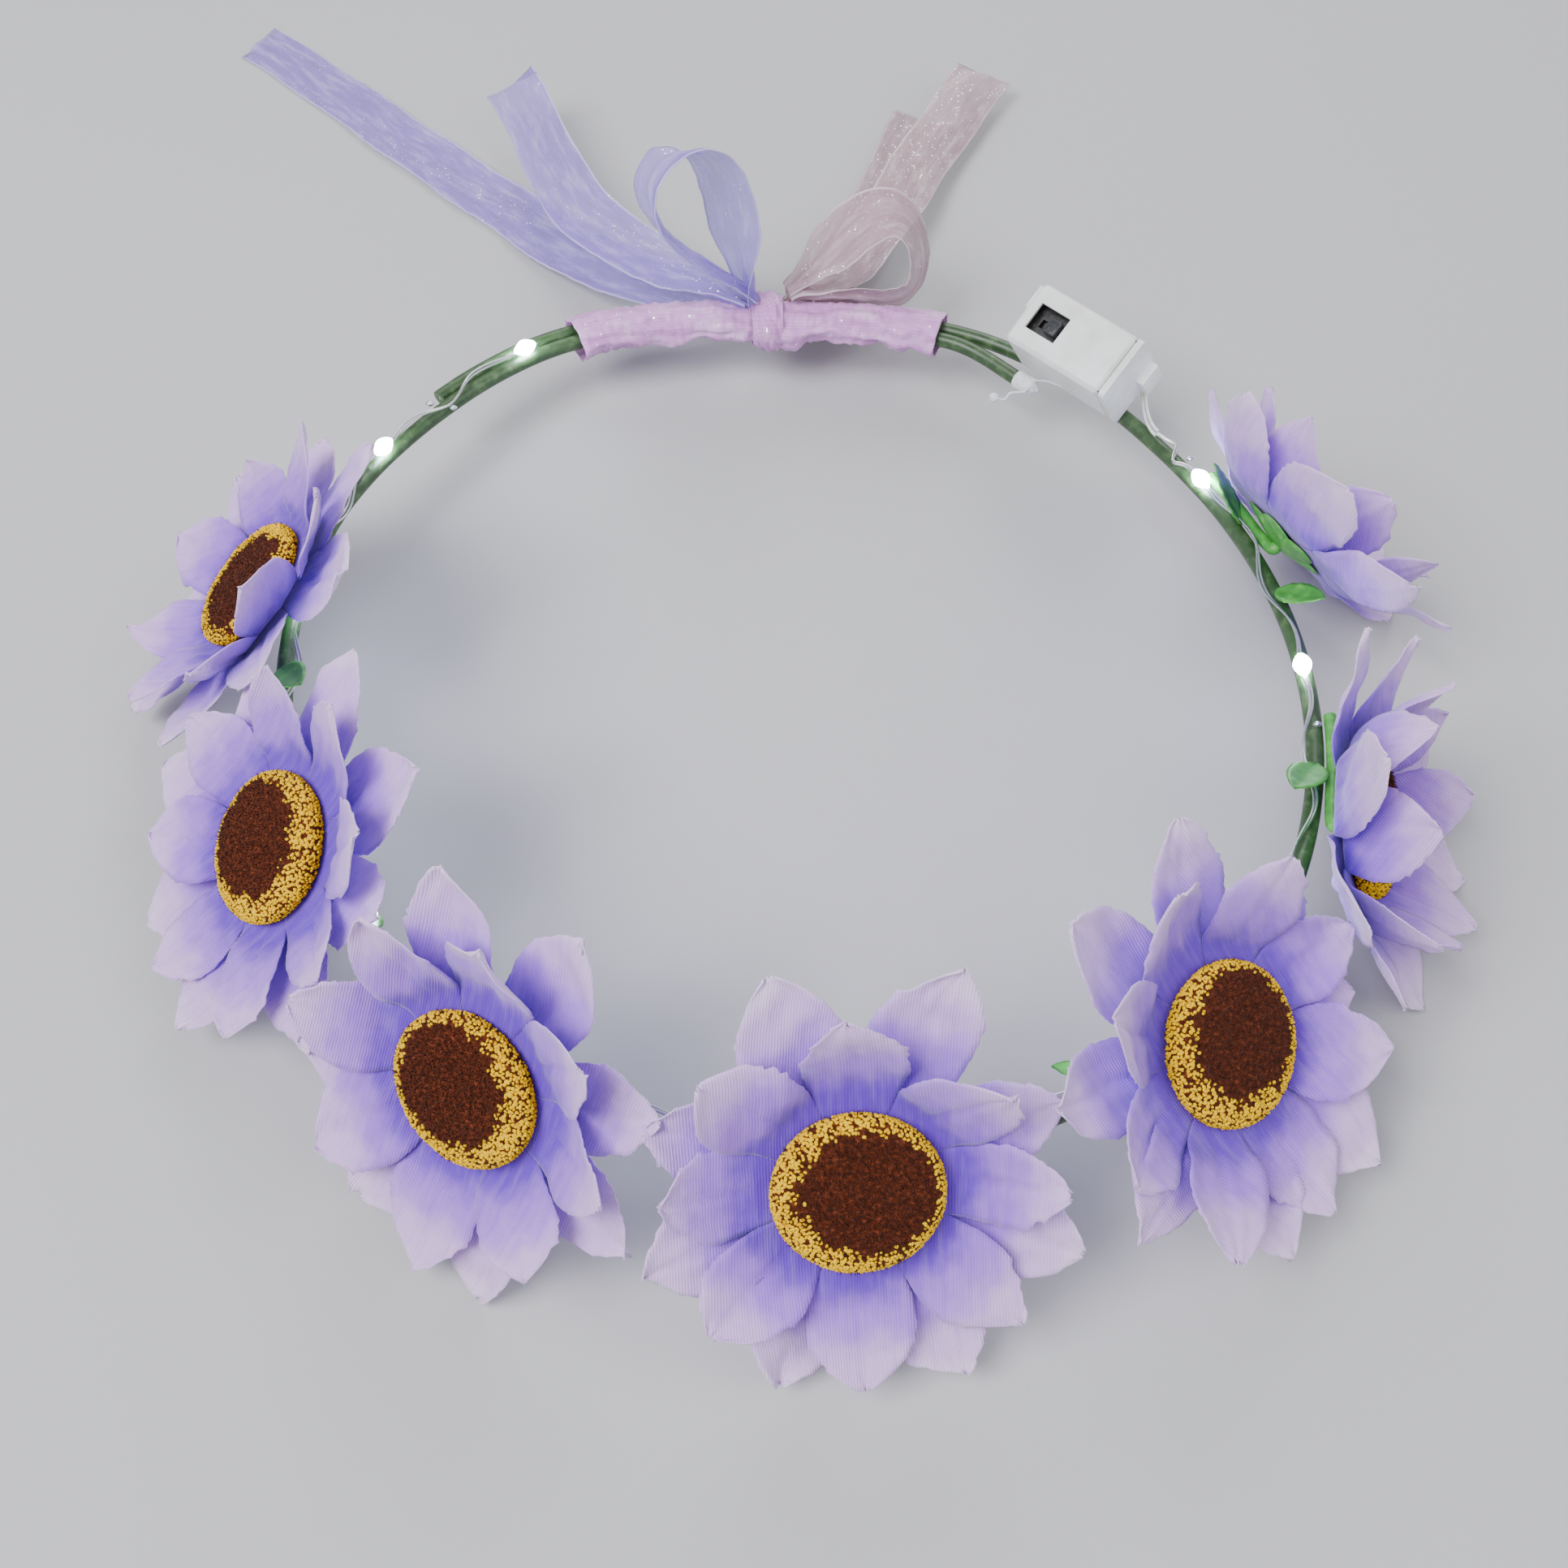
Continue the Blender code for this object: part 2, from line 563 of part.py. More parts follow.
def make_lamp_string(parent, box):
    """Wire and lamps."""
    wire = tube_mesh("lamp_wire", wire_points(box), WIRE_DIAMETER, resolution=1)
    add_object("lamp_wire", wire, "wire", parent)
    mesh = lamp_mesh()
    for number, (azimuth, clock) in enumerate(LAMPS, 1):
        before = beside_tube(azimuth + LAMP_HALF_ARC, clock, WIRE_STANDOFF)
        after = beside_tube(azimuth - LAMP_HALF_ARC, clock, WIRE_STANDOFF)
        middle = (before + after) / 2
        along = (after - before).normalized()
        away = middle - tube_middle(azimuth)
        away = (away - along * away.dot(along)).normalized()
        matrix = frame_matrix(middle, along, away.cross(along), away)
        add_object("lamp_%02d" % number, mesh, "lamp", parent, matrix)


# ---------------------------------------------------------------- battery box

def box_frame_matrix():
    """Frame of the battery box, on the hoop's wire, leaning in."""
    along = (tube_middle(BOX_AZIMUTH - 1) - tube_middle(BOX_AZIMUTH + 1)).normalized()
    outward = Vector((0, 0, 1)).cross(along)
    lean = math.radians(BOX_LEAN)
    across = outward * math.cos(lean) + Vector((0, 0, math.sin(lean)))
    normal = along.cross(across)
    below = HALF_DEPTH + TUBE_DIAMETER / 2 + GAP + TUBE_BOW
    origin = tube_middle(BOX_AZIMUTH) - across * TUBE_ACROSS + normal * below
    return frame_matrix(origin, along, across, normal)


def joined(name, slot, parent, boxes, matrix=None):
    """Boxes joined into one solid; each box is (low corner, high corner, chamfer)."""
    first, *others = boxes
    made = add_object(name, box_mesh(name, *first), slot, parent, matrix)
    for i, extra in enumerate(others):
        added = add_object("%s_add_%d" % (name, i), box_mesh(name, *extra), None, parent, matrix)
        combine(made, added, "UNION")
    return made


def cut_box(target, name, low, high, parent):
    """Cut a box out of a target."""
    combine(target, add_object(name, box_mesh(name, low, high), None, parent), "DIFFERENCE")


def make_case(frame):
    """Case with its cell bay, switch bay and window, end lip and lead hole."""
    lip_out, lip_width, lip_depth = END_LIP
    over = BOX_EDGE
    case = joined("battery_case", "case", frame, (
        ((-HALF_LENGTH, -HALF_WIDTH, -HALF_DEPTH), (CASE_END, HALF_WIDTH, HALF_DEPTH), BOX_EDGE),
        ((-HALF_LENGTH - lip_out, HALF_WIDTH - over - lip_width, HALF_DEPTH - over - lip_depth),
         (-HALF_LENGTH + lip_out, HALF_WIDTH - over, HALF_DEPTH - over), 0.0)))
    cut_box(case, "cell_bay", (CELL_BAY_START, -BAY_HALF_WIDTH, -BAY_HALF_DEPTH),
            (CASE_END + BOX_WALL, BAY_HALF_WIDTH, BAY_HALF_DEPTH), frame)
    half_room = SWITCH_ROOM[1] / 2
    cut_box(case, "switch_bay", (SWITCH_BAY_END - SWITCH_ROOM[0], -half_room, SWITCH_FLOOR),
            (SWITCH_BAY_END, half_room, BAY_HALF_DEPTH), frame)
    cut_box(case, "switch_window", (SWITCH_BAY_END - WINDOW[0], -WINDOW[1] / 2, SWITCH_FLOOR + BOX_WALL),
            (SWITCH_BAY_END, WINDOW[1] / 2, HALF_DEPTH + BOX_WALL), frame)
    hole = bmesh.new()
    radius = WIRE_DIAMETER / 2 + GAP
    place = Matrix.Translation((LEAD_END, LEAD_SIDE, -HALF_DEPTH))
    bmesh.ops.create_cone(hole, cap_ends=True, segments=8, radius1=radius, radius2=radius,
                          depth=4 * BOX_WALL, matrix=place)
    combine(case, add_object("lead_hole", mesh_from("lead_hole", hole), None, frame), "DIFFERENCE")


def make_door(frame):
    """End door: plate, plug that fits the bay, and pull. Its origin is on its slide's axis."""
    place = Matrix.Translation((CASE_END + GAP, 0, 0))
    pull_out, pull_width, pull_depth = PULL_SIZE
    plug_width, plug_depth = BAY_HALF_WIDTH - GAP, BAY_HALF_DEPTH - GAP
    joined("battery_door", "case", frame, (
        ((0, -HALF_WIDTH, -HALF_DEPTH), (DOOR_PLATE, HALF_WIDTH, HALF_DEPTH), 0.0),
        ((-DOOR_PLUG, -plug_width, -plug_depth), (DOOR_PLATE / 2, plug_width, plug_depth), 0.0),
        ((DOOR_PLATE / 2, HALF_WIDTH - pull_width, -HALF_DEPTH),
         (DOOR_PLATE + pull_out, HALF_WIDTH - BOX_WALL, -HALF_DEPTH + pull_depth), 0.0)), place)


def make_switch(frame):
    """Switch body with its groove, and the knob that slides in it."""
    length, width, depth = SWITCH_BODY
    end = SWITCH_BAY_END - GAP - BOX_WALL / 2
    body = add_object("switch_body", box_mesh("switch_body", (end - length, -width / 2, SWITCH_TOP - depth),
                                              (end, width / 2, SWITCH_TOP)), "switch", frame)
    reach = KNOB_FOOT_LENGTH / 2 + GAP
    half_groove = GROOVE_WIDTH / 2
    cut_box(body, "switch_groove",
            (KNOB_MIDDLE - KNOB_TRAVEL - reach, -half_groove, SWITCH_TOP - GROOVE_DEPTH),
            (KNOB_MIDDLE + reach, half_groove, SWITCH_TOP + GROOVE_DEPTH), frame)
    place = Matrix.Translation((KNOB_MIDDLE, 0, SWITCH_TOP + GAP))
    head_length, head_width, head_depth = KNOB_HEAD
    foot_half, foot_reach = half_groove - GAP, KNOB_FOOT_LENGTH / 2
    joined("switch_knob", "switch", frame, (
        ((-head_length / 2, -head_width / 2, 0), (head_length / 2, head_width / 2, head_depth), 0.0003),
        ((-foot_reach, -foot_half, -GROOVE_DEPTH), (foot_reach, foot_half, head_depth / 2), 0.0),
    ), place)


def make_cells(frame):
    """Stack of button cells with the contact plate at the door and the leaf at the divider."""
    for number in range(CELLS):
        middle = STACK_START + CELL_THICKNESS / 2 + number * (CELL_THICKNESS + GAP)
        bm = bmesh.new()
        bmesh.ops.create_cone(bm, cap_ends=True, segments=16, radius1=CELL_DIAMETER / 2,
                              radius2=CELL_DIAMETER / 2, depth=CELL_THICKNESS)
        place = Matrix.Translation((middle, 0, 0)) @ Matrix.Rotation(math.pi / 2, 4, "Y")
        add_object("button_cell_%d" % (number + 1), mesh_from("button_cell", bm), "steel", frame, place)
    half = CELL_DIAMETER * 0.34
    add_object("contact_plate", box_mesh("contact_plate", (PLATE_END - CONTACT_THICKNESS, -half, -half),
                                         (PLATE_END, half, half)), "contact", frame)
    root = CELL_BAY_START + GAP + CONTACT_THICKNESS
    tip = STACK_START - GAP - CONTACT_THICKNESS
    profile = ((root, -half), (root, half * 0.8), ((root * 2 + tip) / 3, half),
               ((root + tip * 2) / 3, half * 0.7), (tip, 0.0))
    rings = [[(x, side * half * 0.6, z) for x, z in profile] for side in (-1, 1)]
    leaf = grid_surface("contact_leaf", rings, closed_rings=False)
    thicken(add_object("contact_leaf", leaf, "contact", frame), CONTACT_THICKNESS, 0.0)


def make_glue(parent):
    """Bead of hot glue between the tube and the box."""
    distance = TUBE_DIAMETER / 2 + 1.5 * GAP + GLUE_DIAMETER / 2
    clock = BOX_LEAN + 180 - math.degrees(math.asin(GLUE_RISE / distance))
    step = GLUE_HALF_ARC / 3
    points = [beside_tube(BOX_AZIMUTH + step * i, clock, distance) for i in range(-3, 4)]
    add_object("box_glue", tube_mesh("box_glue", points, GLUE_DIAMETER, resolution=1), "glue", parent)


# ---------------------------------------------------------------- ribbon

def band_around_hoop(name, first, last, half_sizes, stations, segments=16):
    """Open oval tube round the lapped wires between two azimuths, in the hoop's frame."""
    half_out, half_up = half_sizes
    rings = []
    for i in range(stations):
        azimuth = first + (last - first) * i / (stations - 1)
        turns = [2 * math.pi * j / segments for j in range(segments)]
        rings.append([hoop_point(azimuth, half_out * math.cos(t), half_up * math.sin(t)) for t in turns])
    return grid_surface(name, rings)


def make_sleeve_and_knot(parent):
    """Ribbon wound over the lap, and the knot pulled tight round it."""
    sleeve = band_around_hoop("ribbon_sleeve", SLEEVE_FROM, SLEEVE_TO, SLEEVE_BORE, 9)
    thicken(add_object("ribbon_sleeve", sleeve, "ribbon", parent), RIBBON_THICKNESS, 1.0)
    half_arc = math.degrees(KNOT_LENGTH / 2 / hoop_point(KNOT_AZIMUTH).length)
    clear = RIBBON_THICKNESS + 1.5 * GAP
    bore = [half + clear for half in SLEEVE_BORE]
    knot = band_around_hoop("bow_knot", KNOT_AZIMUTH - half_arc, KNOT_AZIMUTH + half_arc, bore, 3, 12)
    thicken(add_object("bow_knot", knot, "ribbon", parent), KNOT_WALL, 1.0)


def make_loop(name, knot, start, main_axis, side_axis, length, breadth):
    """Standing ribbon loop: a teardrop band as wide as the ribbon."""
    main = Vector(main_axis).normalized()
    side = Vector(side_axis)
    side = (side - main * side.dot(main)).normalized()
    wide = main.cross(side)
    steps = 20
    rings = []
    for i in range(steps):
        turn = 2 * math.pi * i / steps
        along = length * (1 - math.cos(turn)) / 2
        beside = breadth * 0.65 * math.sin(turn) * math.sin(turn / 2) ** 2
        spread = TAIL_GATHER + (RIBBON_WIDTH - TAIL_GATHER) * ease(along / length * 2.5)
        middle = knot + Vector(start) + main * along + side * beside
        rings.append([middle - wide * spread / 2, middle + wide * spread / 2])
    surface = grid_surface(name, rings, closed_rings=False, closed_rows=True)
    thicken(add_object(name, surface, "ribbon"), RIBBON_THICKNESS, 0.0)


def smooth_path(points, spans):
    """Points along a smooth curve through the given ones."""
    ends = [points[0] * 2 - points[1]] + points + [points[-1] * 2 - points[-2]]
    path = []
    for i in range(len(points) - 1):
        before, first, second, after = ends[i:i + 4]
        for j in range(spans):
            t = j / spans
            bend = before * 2 - first * 5 + second * 4 - after
            twist = first * 3 - before - second * 3 + after
            path.append((first * 2 + (second - before) * t + bend * t ** 2 + twist * t ** 3) / 2)
    return path + [points[-1]]


def make_tail(name, knot, route):
    """Ribbon tail from the knot out over the table, gathered where it leaves the knot."""
    path = smooth_path([knot + Vector(point) for point in route], 2)
    rings = []
    for i, point in enumerate(path):
        ahead = path[min(i + 1, len(path) - 1)] - path[max(i - 1, 0)]
        across = ahead.cross(Vector((0, 0, 1))).normalized()
        width = TAIL_GATHER + (RIBBON_WIDTH - TAIL_GATHER) * ease(i / 3)
        rings.append([point - across * width / 2, point + across * width / 2])
    surface = grid_surface(name, rings, closed_rings=False)
    thicken(add_object(name, surface, "ribbon"), RIBBON_THICKNESS, 0.0)


# ---------------------------------------------------------------- assembly

def main():
    """Build the whole crown."""
    tilt = Matrix.Translation((0, 0, HOOP_HEIGHT)) @ Matrix.Rotation(math.radians(-HOOP_TILT), 4, "X")
    hoop = add_empty("hoop_frame", tilt)
    make_hoop(hoop)
    disc = disc_mesh()
    for number, (azimuth, facing, elevation, cup) in enumerate(FLOWERS, 1):
        make_flower(number, azimuth, facing, elevation, cup, disc, hoop)
    box = box_frame_matrix()
    frame = add_empty("battery_box_frame", box, hoop)
    make_case(frame)
    make_door(frame)
    make_switch(frame)
    make_cells(frame)
    make_glue(hoop)
    make_lamp_string(hoop, box)
    make_sleeve_and_knot(hoop)
    knot = tilt @ hoop_point(KNOT_AZIMUTH)
    knot.z = 0.0
    for name, shape in LOOPS.items():
        make_loop(name, knot, *shape)
    for name, route in TAILS.items():
        make_tail(name, knot, route)


main()
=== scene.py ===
"""Looks of the light-up flower crown: fabric daisies, lamps, battery box and organza bow.

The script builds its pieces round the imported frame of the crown. It is laid out as an add-on:
each group of pieces has its own operator, and main() calls them in order.
Lengths are in metres and angles in degrees unless a name says otherwise.
"""

import math

import bmesh
import bpy
import numpy as np
from mathutils import Matrix, Vector, noise


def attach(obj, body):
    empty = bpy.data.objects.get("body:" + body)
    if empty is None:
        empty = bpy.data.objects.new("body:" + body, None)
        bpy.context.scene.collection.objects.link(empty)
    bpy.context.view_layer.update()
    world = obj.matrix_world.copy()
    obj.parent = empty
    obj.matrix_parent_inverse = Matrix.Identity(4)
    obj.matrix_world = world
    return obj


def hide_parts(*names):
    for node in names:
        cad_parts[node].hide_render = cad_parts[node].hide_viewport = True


bl_info = {
    "name": "Flower Crown",
    "version": (1, 0, 0),
    "blender": (4, 5, 0),
    "location": "View3D > Sidebar > Crown",
    "description": "Builds the looks of a light-up flower crown round its frame",
    "category": "Object",
}

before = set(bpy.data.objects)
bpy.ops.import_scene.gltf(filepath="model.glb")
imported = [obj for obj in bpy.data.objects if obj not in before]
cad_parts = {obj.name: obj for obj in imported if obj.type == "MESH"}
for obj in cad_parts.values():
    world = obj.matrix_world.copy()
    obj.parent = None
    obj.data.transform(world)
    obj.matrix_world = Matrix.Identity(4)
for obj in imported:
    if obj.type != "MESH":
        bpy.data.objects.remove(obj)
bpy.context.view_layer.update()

MM = 0.001
TABLE_TOUCH = 0.0005              # cloth that lies on the table stays this far above it

# The hoop's wire, as in the design: an oval, lapped at the back and tilted a little
HOOP_LONG_RADIUS, HOOP_SHORT_RADIUS, HOOP_LONG_AXIS = 0.0988, 0.0902, 115.0
HOOP_HEIGHT, HOOP_TILT = 0.0188, 3.0
HOOP_BACK = (93.2, 32.0, 0.0055)  # the lap is straighter: middle, half arc, depth
HOOP_START, HOOP_END, LAP_EASE = 137.0, -305.0, 25.0
LAP_SIDE = 0.0017                 # how far each wire lies off the oval in the lap
END_SPRING = (14.0, 0.0030, 0.0008)
TUBE_RADIUS = 0.00155
HOOP = Matrix.Translation((0, 0, HOOP_HEIGHT)) @ Matrix.Rotation(math.radians(-HOOP_TILT), 4, "X")
HOOP_UP = HOOP.to_3x3().col[2]

# Flowers: azimuth on the wire, cup of the outer petals, further lean of the inner ones at the
# top and at the foot, side on which the yellow ring is widest
FLOWERS = (
    (-185.4, 10.0, 26.0, 12.0, 215.0), (-150.3, 6.0, 26.0, 10.0, 0.0),
    (-118.1, 6.0, 30.0, 8.0, 320.0), (-85.0, 3.0, 34.0, 6.0, 215.0), (-52.6, 6.0, 30.0, 8.0, 215.0),
    (-24.0, 27.0, 30.0, 26.0, 180.0), (13.6, 25.0, 28.0, 24.0, 90.0),
)
FLOWER_SEEDS = 100                # a flower's petals are drawn with this plus its number
FRONT_AZIMUTH = -90.0
SHORTEST_PETAL = 0.84             # share of its reach that a petal keeps beside its neighbours
HUB_RADIUS = 0.0045               # petals start here, under the disc
OUTER_SEAT, INNER_SEAT = -0.0018, -0.0007  # height of each layer's hub below the disc's seat
RIB_PITCH, PETAL_WEFT = 0.00042, 0.00028   # of the petal cloth

# Disc: the design's top above its seat, and its outline as (share of its radius, height in mm)
DISC_TOP = 0.003536
DISC_PROFILE = (
    (0.90, -0.30), (0.975, 0.10), (1.0, 0.75), (1.0, 1.45), (0.985, 2.05), (0.95, 2.55),
    (0.89, 2.95), (0.81, 3.22), (0.71, 3.40), (0.60, 3.50), (0.48, 3.56), (0.36, 3.60),
    (0.24, 3.62), (0.12, 3.63),
)
GRANULES, FIBRES = 4.6e6, 9.0e6   # for each square metre

# Calyx: how far its foot lies below the disc's seat, its lobes, and its outline (radius, height)
CALYX_FOOT, CALYX_LOBES = 0.0043, 6
CALYX_PROFILE = (
    (0.0013, 0.0), (0.0021, 0.0001), (0.0034, 0.0004), (0.0052, 0.0008), (0.0072, 0.0012),
    (0.0088, 0.0016), (0.0095, 0.00185), (0.0093, 0.0020), (0.0070, 0.00195), (0.0020, 0.0019),
)
STEM_RADIUS = 0.0011
STEM_ARC = 14.0
LEAF_THICKNESS = 0.00035

# Lamp string: azimuth and place round the wire (0 outside, 90 top, 180 inside)
LAMPS = (
    (27.0, 105.0), (-4.0, 110.0), (-33.0, 128.0), (-63.0, 120.0), (-93.0, 128.0),
    (-116.0, 128.0), (-140.0, 122.0), (-163.0, 128.0), (-186.0, 135.0),
    (-211.5, 95.0), (-235.0, 90.0),
)
LAMP_HALF_ARC = 1.7
LAMP_RISE = 0.00045               # the drop sits this far off the middle of its wire
CHIP_SIZE = (0.0016, 0.0011, 0.0009)
WIRE_STANDOFF = 0.0029
WIRE_JOIN = (36.4, 95.0)          # where the leads meet the hoop: azimuth and place round the wire
STRAND_TURN = 0.0075              # the strands go round each other by one radian in this run
LEAD_HOLE = (0.0094, 0.0049, -0.0051)     # where the leads enter the box, in its frame
LEAD_OUT = 0.0029
LEAD_SAG, LEAD_PULL = 0.0078, 0.0055      # how far they hang below the box and run along the hoop

# Bead dots on the lamp wire: azimuth and place round the wire
BEADS = ((-246.0, 60.0), (-222.5, 150.0), (-220.8, 50.0), (31.0, 60.0), (-12.0, 90.0), (-72.0, 110.0))

# Battery box: azimuth, lean of its switch face, and its middle's place across and above the wire
BOX_AZIMUTH, BOX_LEAN, BOX_ACROSS, BOX_ABOVE = 50.1, 32.8, -0.0036, 0.00905
OUTLINE_REACH = 0.00005           # an edge this near the box's outermost faces is on its outline
CHAMFER_ROUND = 0.00044
DOOR_AZIMUTH, DOOR_CLEARANCE, DOOR_ARC = 40.5, 0.00035, 5.0  # the wire bends down below the door
SLIDER_RIBS, RIB_SIZE, RIB_RISE = 4, 0.00022, 0.00006
GLUE_FROM, GLUE_TO, GLUE_RADIUS, GLUE_SINK = 57.4, 43.2, 0.00205, 0.0006

# Tape on the wire's free end: its arc before and past the end, its thickness over the sleeve
TAPE_BEFORE, TAPE_PAST, TAPE_BUILD = 2.6, 0.9, 0.00028
TAPE_STEP = 0.0016                # run of the tape past the wire's end, for each degree

# Leaves beside the stems: azimuth, place round the wire, turn from the hoop's line, length
LEAVES = (
    (19.0, 60.0, 40.0, 0.013), (8.0, 95.0, -150.0, 0.011), (-17.0, 100.0, 160.0, 0.012),
    (-44.0, 120.0, 30.0, 0.010), (-61.0, 120.0, 150.0, 0.009), (-141.0, 120.0, -25.0, 0.011),
    (-176.0, 80.0, 35.0, 0.012), (-191.0, 70.0, 160.0, 0.010),
)

# Ribbon over the lap and at the knot: where it lies, and its half widths out and up
KNOT_AZIMUTH, KNOT_HALF_ARC, KNOT_HALF = 93.2, 2.1, (0.0058, 0.0046)
SLEEVE_FROM, SLEEVE_TO, SLEEVE_HALF = 70.0, 118.0, (0.0051, 0.0035)

# Bow: X and Y from the knot, Z from the table. The tails' routes are the design's, and the loops
# stand in the places of the design's.
LOOPS = {
    # name: (start, main axis, side axis, length, breadth, turn on its way up, flare all round)
    "bow_loop_left": ((-0.0031, 0.0013, 0.0190), (-0.456, 0.071, 0.887), (0.773, 0.524, 0.356),
                      0.0360, 0.0185, 26.0, 6.0),
    "bow_loop_right": ((0.0045, 0.0030, 0.0190), (0.930, 0.300, 0.140), (-0.300, 0.360, 0.880),
                       0.0305, 0.0225, 0.0, 30.0),
}
LOOP_BELLY = 0.65                 # how far a loop bellies out, as a share of its breadth
TAILS = {
    # name: (route, roll at the knot, roll at the end, slant of the cut)
    "tail_left_long": (((-0.0032, 0.0030, 0.0150), (-0.0130, 0.0085, 0.0130), (-0.0271, 0.0200, 0.0090),
                        (-0.0430, 0.0331, 0.0050), (-0.0609, 0.0511, 0.0022), (-0.0807, 0.0706, 0.0012),
                        (-0.1065, 0.0964, 0.0006), (-0.1340, 0.1218, 0.0005)), 14.0, 0.0, 0.35),
    "tail_left_short": (((-0.0032, 0.0015, 0.0178), (-0.0130, 0.0095, 0.0180), (-0.0285, 0.0220, 0.0150),
                         (-0.0411, 0.0372, 0.0130), (-0.0507, 0.0579, 0.0110), (-0.0575, 0.0740, 0.0105),
                         (-0.0634, 0.0853, 0.0120)), -6.0, 38.0, -0.5),
    "tail_right_long": (((0.0043, 0.0030, 0.0150), (0.0110, 0.0110, 0.0138), (0.0202, 0.0263, 0.0085),
                         (0.0284, 0.0463, 0.0070), (0.0381, 0.0685, 0.0055), (0.0470, 0.0860, 0.0055),
                         (0.0540, 0.0988, 0.0065)), 10.0, -12.0, 0.3),
    "tail_right_short": (((0.0036, 0.0060, 0.0110), (0.0095, 0.0170, 0.0062), (0.0178, 0.0343, 0.0035),
                          (0.0250, 0.0528, 0.0022), (0.0316, 0.0709, 0.0013), (0.0374, 0.0892, 0.0006)),
                         0.0, 0.0, -0.3),
}
RIBBON_WEFT = 0.00032             # pitch of the weave along the ribbon
RIBBON_ENDS = 48                  # threads across it
OPEN_RUN = 0.020                  # a tail opens to its full width in this run from the knot

# Studio: lights as (name, place, size, power), and the camera
LIGHTS = (("key", (-0.55, -0.35, 0.95), 0.6, 17.5), ("fill", (0.75, -0.30, 0.70), 0.8, 4.6),
          ("back", (0.10, 0.90, 0.65), 0.6, 6.2))
LIGHTS_AIM = (0, 0.02, 0.02)
SKY, SKY_STRENGTH = (0.90, 0.93, 1.0, 1.0), 0.52
CAMERA_PLACE = (-0.0015, -0.1787, 0.2526)
FLOOR_HALF = 3


# ---------------------------------------------------------------- settings

def length(name, text, default):
    """Property that is a length."""
    return bpy.props.FloatProperty(name=name, description=text, default=default, subtype="DISTANCE",
                                   unit="LENGTH", precision=5)


def number(name, text, default):
    """Property that is a plain number."""
    return bpy.props.FloatProperty(name=name, description=text, default=default)


def colour(name, text, default):
    """Property that is a colour."""
    return bpy.props.FloatVectorProperty(name=name, description=text, default=default, size=3,
                                         subtype="COLOR", min=0.0, max=1.0)


class FlowerSettings(bpy.types.PropertyGroup):
    """Sizes and colours of the daisies."""
    petals: bpy.props.IntProperty(name="Petals", description="Petals in each layer", default=8)
    reach_up: length("Reach up", "Petal tip from the middle, towards the top of the flower", 0.0355)
    reach_side: length("Reach aside", "Petal tip from the middle, to the sides", 0.0335)
    reach_down: length("Reach down", "Petal tip from the middle, towards the foot of the flower", 0.0362)
    inner_share: number("Inner layer", "Inner petals, as a share of the outer", 0.90)
    petal_width: length("Petal width", "Widest part of a petal", 0.0162)
    cloth: length("Cloth", "Thickness of the petal cloth", 0.00022)
    disc_radius: length("Disc radius", "Radius of the flocked centre", 0.0123)
    granule: length("Granule", "Mean size of a yellow granule", 0.00062)
    fibre: length("Fibre", "Length of a flock fibre", 0.00055)
    deep: colour("Deep violet", "Petals beside the disc", (0.135, 0.032, 0.620))
    middle: colour("Violet", "Middle of the petals", (0.390, 0.180, 0.860))
    tip: colour("Lilac", "Tips of the petals", (0.690, 0.460, 0.880))
    flock: colour("Flock", "Centre of the disc", (0.090, 0.018, 0.006))
    yellow: colour("Granules", "Ring of granules", (0.84, 0.50, 0.0))
    green: colour("Green", "Calyx, stem and leaves", (0.060, 0.330, 0.045))


class StringSettings(bpy.types.PropertyGroup):
    """Sizes and colours of the hoop, the lamp string and the battery box."""
    sleeve: colour("Sleeve", "Green plastic over the hoop's wire", (0.030, 0.075, 0.022))
    strand: length("Strand", "Diameter of one strand of the lamp wire", 0.00042)
    drop_length: length("Drop length", "Length of the resin drop over a lamp", 0.0050)
    drop_width: length("Drop width", "Width of the resin drop over a lamp", 0.0030)
    glow: number("Glow", "Strength of a lamp's light", 180.0)
    halo: number("Halo", "Strength of the lit resin round a lamp", 45.0)
    light: colour("Lamp light", "Colour of the lamps", (0.80, 0.90, 1.0))
    case: colour("Case", "White plastic of the battery box", (0.78, 0.80, 0.78))


class RibbonSettings(bpy.types.PropertyGroup):
    """Sizes and colours of the organza ribbon."""
    width: length("Width", "Width of the ribbon", 0.0140)
    gather: length("Gather", "Width to which the knot gathers it", 0.0050)
    cloth: length("Cloth", "Thickness of the ribbon", 0.00012)
    left: colour("Left", "Ribbon to the left of the knot", (0.34, 0.23, 0.78))
    right: colour("Right", "Ribbon to the right of the knot", (0.48, 0.31, 0.37))
    middle: colour("Middle", "Knot and the ribbon over the lap", (0.74, 0.34, 0.76))


class StageSettings(bpy.types.PropertyGroup):
    """Camera and light."""
    lens: number("Lens", "Focal length on a 36 mm sensor", 37.08)
    dip: number("Dip", "Angle at which the camera looks down, in degrees", 57.4)
    floor: colour("Floor", "Pale floor", (0.47, 0.47, 0.485))


# ---------------------------------------------------------------- small helpers

def ease(share):
    """Smooth step from 0 to 1."""
    share = min(max(share, 0.0), 1.0)
    return share * share * (3 - 2 * share)


def between(low, high, share):
    """Value at a share of the way from low to high."""
    return low + (high - low) * share


def placed_object(name, mesh):
    """Object at the origin that shows a mesh."""
    made = bpy.data.objects.new(name, mesh)
    bpy.context.scene.collection.objects.link(made)
    return made


def shaped_object(name, bm):
    """Object from a finished bmesh, which it frees."""
    mesh = bpy.data.meshes.new(name)
    bm.to_mesh(mesh)
    bm.free()
    return placed_object(name, mesh)


